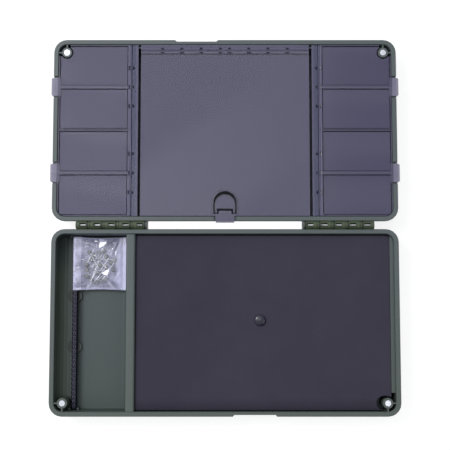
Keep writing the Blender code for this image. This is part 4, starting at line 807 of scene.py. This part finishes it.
def stud():
    """The stud's smooth dome with its small rolled edge, and its stem."""
    low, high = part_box("board_stud")
    r = (high.x - low.x) / 2
    seat = high.z - STUD_DROP
    profile = [(STUD_STEM, low.z), (STUD_STEM, seat)] + [(r * share, seat + rise) for share, rise in STUD_EDGE]
    brow = profile[-1][1]
    for i in range(1, STUD_RINGS):
        angle = math.pi / 2 * i / STUD_RINGS
        profile.append((r * math.cos(angle) ** STUD_FULLNESS, brow + STUD_DOME * math.sin(angle)))
    place = Vector(((low.x + high.x) / 2, (low.y + high.y) / 2, 0))
    return lathe("stud_dome", turn_to((0, 0, 1)), place, profile, 48, DARK)


def eye_ring(middle, pitch, top, points, faces):
    """The head's flat face round one eye, with the ring and the eye's bore."""
    base, deep = len(points), len(EYE_PROFILE) + 1
    for k in range(EYE_SIDES):
        a = 2 * math.pi * (k + 0.5) / EYE_SIDES
        c, s = math.cos(a), math.sin(a)
        reach = min(FACE_HALF / abs(c), pitch / 2 / abs(s))
        for r, rise in ((reach, 0), *EYE_PROFILE):
            points.append((RACK_X + r * c, middle + r * s, top + rise))
    for k in range(EYE_SIDES):
        for j in range(deep - 1):
            a, b = base + k * deep + j, base + (k + 1) % EYE_SIDES * deep + j
            faces.append((a, b, b + 1, a + 1))
    faces.append(tuple(base + k * deep + deep - 1 for k in range(EYE_SIDES)))


def eye_lobes(start, middle, pitch, wide, top, under, points, faces):
    """The scalloped sides of the head at one eye."""
    for way in (-1, 1):
        base = len(points)
        for j in range(LOBE_STEPS + 1):
            y = middle + pitch * (j / LOBE_STEPS - 0.5)
            half = NECK_HALF + (wide - NECK_HALF) * (1 - math.cos(2 * math.pi * (y - start) / pitch)) / 2
            bend = FACE_HALF + (half - FACE_HALF) * LOBE_BEND
            section = ((FACE_HALF, top), (bend, top - LOBE_BEND_DROP), (half, top - LOBE_EDGE_DROP),
                       (half, under), (WEB_HALF, under))
            points += [(RACK_X + way * x, y, z) for x, z in section]
        row = len(section)
        for j in range(LOBE_STEPS):
            for n in range(row - 1):
                a = base + j * row + n
                b, c, d = a + 1, a + row + 1, a + row
                faces.append((a, b, c, d) if way > 0 else (a, d, c, b))


def rack():
    """The rack's scalloped head with a raised ring round every hook eye, over its tall web."""
    low, high = RACK_LOW, RACK_HIGH
    count = round((high.y - low.y) / EYE_PITCH)
    pitch = (high.y - low.y) / count
    top, under = high.z - HEAD_DROP, high.z - HEAD_THICKNESS
    wide = (high.x - low.x) / 2
    points, faces = [], []
    for i in range(count):
        middle = low.y + pitch * (i + 0.5)
        eye_ring(middle, pitch, top, points, faces)
        eye_lobes(low.y, middle, pitch, wide, top, under, points, faces)
    base = len(points)
    points += [(RACK_X + x, y, z) for y in (low.y + WEB_END_GAP, high.y - WEB_END_GAP)
               for x in (-WEB_HALF, WEB_HALF) for z in (low.z, under + WEB_BITE)]
    faces += [tuple(base + n for n in f) for f in
              ((0, 1, 3, 2), (4, 6, 7, 5), (0, 4, 5, 1), (2, 3, 7, 6), (0, 2, 6, 4), (1, 5, 7, 3))]
    return new_piece("rack_head", points, faces, RACK)


for name, top, material in (("film_top", True, FILM), ("film_under", False, UNDER)):
    film = bag_film(name, top, material)
    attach(film, "bag")
    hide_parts("pin_bag")
for seal in seals():
    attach(seal, "bag")
for name in sorted(NODES):
    if name.startswith("rig_pin_"):
        for piece, slot in zip(pin(NODES[name], int(name[-2:])), ("pearl_head", "bright_steel")):
            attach(piece, "bag")
            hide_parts(name)
for piece, body, node, slot in (
    (hinge_rod("left_hinge_pin"), "base", "left_hinge_pin", "bright_steel"),
    (hinge_rod("right_hinge_pin"), "base", "right_hinge_pin", "bright_steel"),
    (stud(), "board", "board_stud", "dark_plastic"),
    (rack(), "base", "hook_rack", "rack_plastic"),
):
    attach(piece, body)
    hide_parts(node)


# Stage

# The white paper: its size and its height just below the box, in metres.
PAPER_SIZE = 6
PAPER_Z = -0.0004
# The patches of painted shade on the paper under the hinges and the painted light in the gap between them, in
# metres from the middle.
HINGE_PATCH_X = ((0.0815, 0.0825), (0.1525, 0.1535))
HINGE_PATCH_Y = (0.009, 0.010)
GAP_Y = (0.006, 0.007)
# How far around a point counts as its sky, and the open shares of it between which the patches' shade ends.
OPEN_SKY_REACH = 0.05
OPEN_SKY = (0.30, 0.42)

# The sky's strength: its level, what it gains upwards and with X and Y, and its least.
SKY_LOW, SKY_RISE, SKY_X, SKY_Y = 0.10, 0.65, -0.5, 0.3
SKY_LEAST = 0.05
SKY_HORIZON = 0.2
# Panels on the ceiling: strength, then the soft ends of the four sides, then how far the panel is turned.
PANELS = (
    (1.15, ((-0.30, -0.24), (0.09, 0.11), (0.00, 0.02), (0.44, 0.50))),
    (0.80, ((-0.12, -0.11), (0.03, 0.18), (0.072, 0.090), (0.171, 0.177)), 36.2),
    (0.25, ((-0.22, -0.20), (-0.10, -0.09), (0.05, 0.07), (0.44, 0.50))),
    (0.45, ((0.09, 0.11), (0.20, 0.22), (0.04, 0.06), (0.185, 0.195))),
    (1.80, ((0.13, 0.14), (0.18, 0.19), (-0.11, -0.10), (-0.07, -0.06))),
    (0.25, ((-0.19, -0.18), (-0.14, -0.13), (-0.11, -0.10), (-0.07, -0.06))),
)
# Lamps: name, place, width and depth in metres, and power in watts.
LAMPS = (
    ("key", (-0.9, 0.5, 1.5), (0.7, 0.7), 12),
    ("fill", (1.2, -0.5, 1.4), (1.2, 1.2), 3),
)
# Camera: place in metres, tilt in degrees, and lens and sensor in mm.
CAMERA_PLACE = (0, -0.09657, 1.06206)
CAMERA_TILT = 5.346
CAMERA_LENS = 80
CAMERA_SENSOR = 36


def seen(t):
    """1 for rays from the camera, off gloss and through clear things."""
    path = t.add("LightPath")
    direct = t.math("MAXIMUM", path.outputs["Is Camera Ray"], path.outputs["Is Glossy Ray"])
    return t.math("MAXIMUM", direct, path.outputs["Is Transmission Ray"])


def floor():
    """White paper that lights itself where it is seen, and keeps the box's soft shadow."""
    bpy.ops.mesh.primitive_plane_add(size=PAPER_SIZE, location=(0, 0, PAPER_Z))
    plane = bpy.context.object
    plane.name = "floor"
    t = Tree("floor_paper")
    paper = t.ramp(t.noise(2, 2), [(0.3, (0.80, 0.80, 0.80)), (0.7, (0.84, 0.84, 0.84))])
    look = seen(t)
    t.feed("Base Color", t.mix(look, paper, (0.30, 0.30, 0.30)))
    t.set(Roughness=0.9, Specular_IOR_Level=0.1, Emission_Strength=0.82)
    x, y, _ = t.axes()
    wide, deep = t.size(x), t.size(y)
    # Painted light: between the hinges the paper glows brighter, so that it is as white as around the box.
    gap = t.product(t.short_of(wide, HINGE_PATCH_X[0]), t.short_of(deep, GAP_Y), look)
    glow = t.mix(gap, t.mix(look, (0, 0, 0), (1, 1, 1)), (1.2, 1.2, 1.2))
    # Painted shade: under the hinges the paper's glow is taken away where both halves stand beside it, so that it
    # lies in deep shade.
    sky = t.add("AmbientOcclusion", samples=8, Distance=OPEN_SKY_REACH)
    shade = t.product(t.between(wide, *HINGE_PATCH_X), t.short_of(deep, HINGE_PATCH_Y),
                      t.short_of(sky.outputs["AO"], OPEN_SKY))
    t.feed("Emission Color", t.mix(shade, glow, (0, 0, 0)))
    plane.data.materials.append(t.mat)


def world():
    """A soft studio: light panels overhead, brighter towards the left rear, and white where the camera sees it."""
    scene = bpy.context.scene
    scene.world = bpy.data.worlds.new("studio")
    t = Tree("studio", sky=scene.world)
    x, y, z = t.axes("Generated")
    level = t.math("ADD", t.product(z, SKY_RISE), SKY_LOW)
    level = t.math("ADD", level, t.product(x, SKY_X))
    level = t.math("ADD", level, t.product(y, SKY_Y))
    level = t.math("MAXIMUM", level, SKY_LEAST)
    # Places on the ceiling, as shares of its height.
    height = t.math("MAXIMUM", z, SKY_HORIZON)
    across, along = t.math("DIVIDE", x, height), t.math("DIVIDE", y, height)

    def panel(strength, sides, turn=0):
        """A panel between two pairs of soft sides, each a pair of low and high ends, turned on the ceiling."""
        c, s = math.cos(math.radians(turn)), math.sin(math.radians(turn))
        p = t.math("ADD", t.product(across, c), t.product(along, s))
        q = t.math("SUBTRACT", t.product(along, c), t.product(across, s))
        return t.product(t.between(p, *sides[:2]), t.between(q, *sides[2:]), strength)

    for made in PANELS:
        level = t.math("ADD", level, panel(*made))
    soft = t.add("Background", Color=(0.93, 0.95, 1.0, 1))
    t.link(level, soft.inputs["Strength"])
    white = t.add("Background", Color=(1, 1, 1, 1), Strength=1.0)
    mix = t.add("MixShader")
    t.link(t.add("LightPath").outputs["Is Camera Ray"], mix.inputs["Fac"])
    t.link(soft.outputs[0], mix.inputs[1])
    t.link(white.outputs[0], mix.inputs[2])
    t.link(mix.outputs[0], t.add("OutputWorld").inputs["Surface"])


def lamp(name, place, size, power):
    """An area lamp that faces the middle of the box."""
    data = bpy.data.lights.new(name, "AREA")
    data.shape = "RECTANGLE"
    data.size, data.size_y = size
    data.energy = power
    obj = bpy.data.objects.new(name, data)
    obj.location = place
    obj.rotation_euler = (-Vector(place)).to_track_quat("-Z", "Y").to_euler()
    bpy.context.scene.collection.objects.link(obj)


def camera():
    data = bpy.data.cameras.new("camera")
    data.lens = CAMERA_LENS
    data.sensor_width = CAMERA_SENSOR
    obj = bpy.data.objects.new("camera", data)
    obj.location = CAMERA_PLACE
    obj.rotation_euler = (math.radians(CAMERA_TILT), 0, 0)
    bpy.context.scene.collection.objects.link(obj)
    bpy.context.scene.camera = obj


bpy.context.scene.view_settings.view_transform = "Standard"
floor()
world()
for made in LAMPS:
    lamp(*made)
camera()
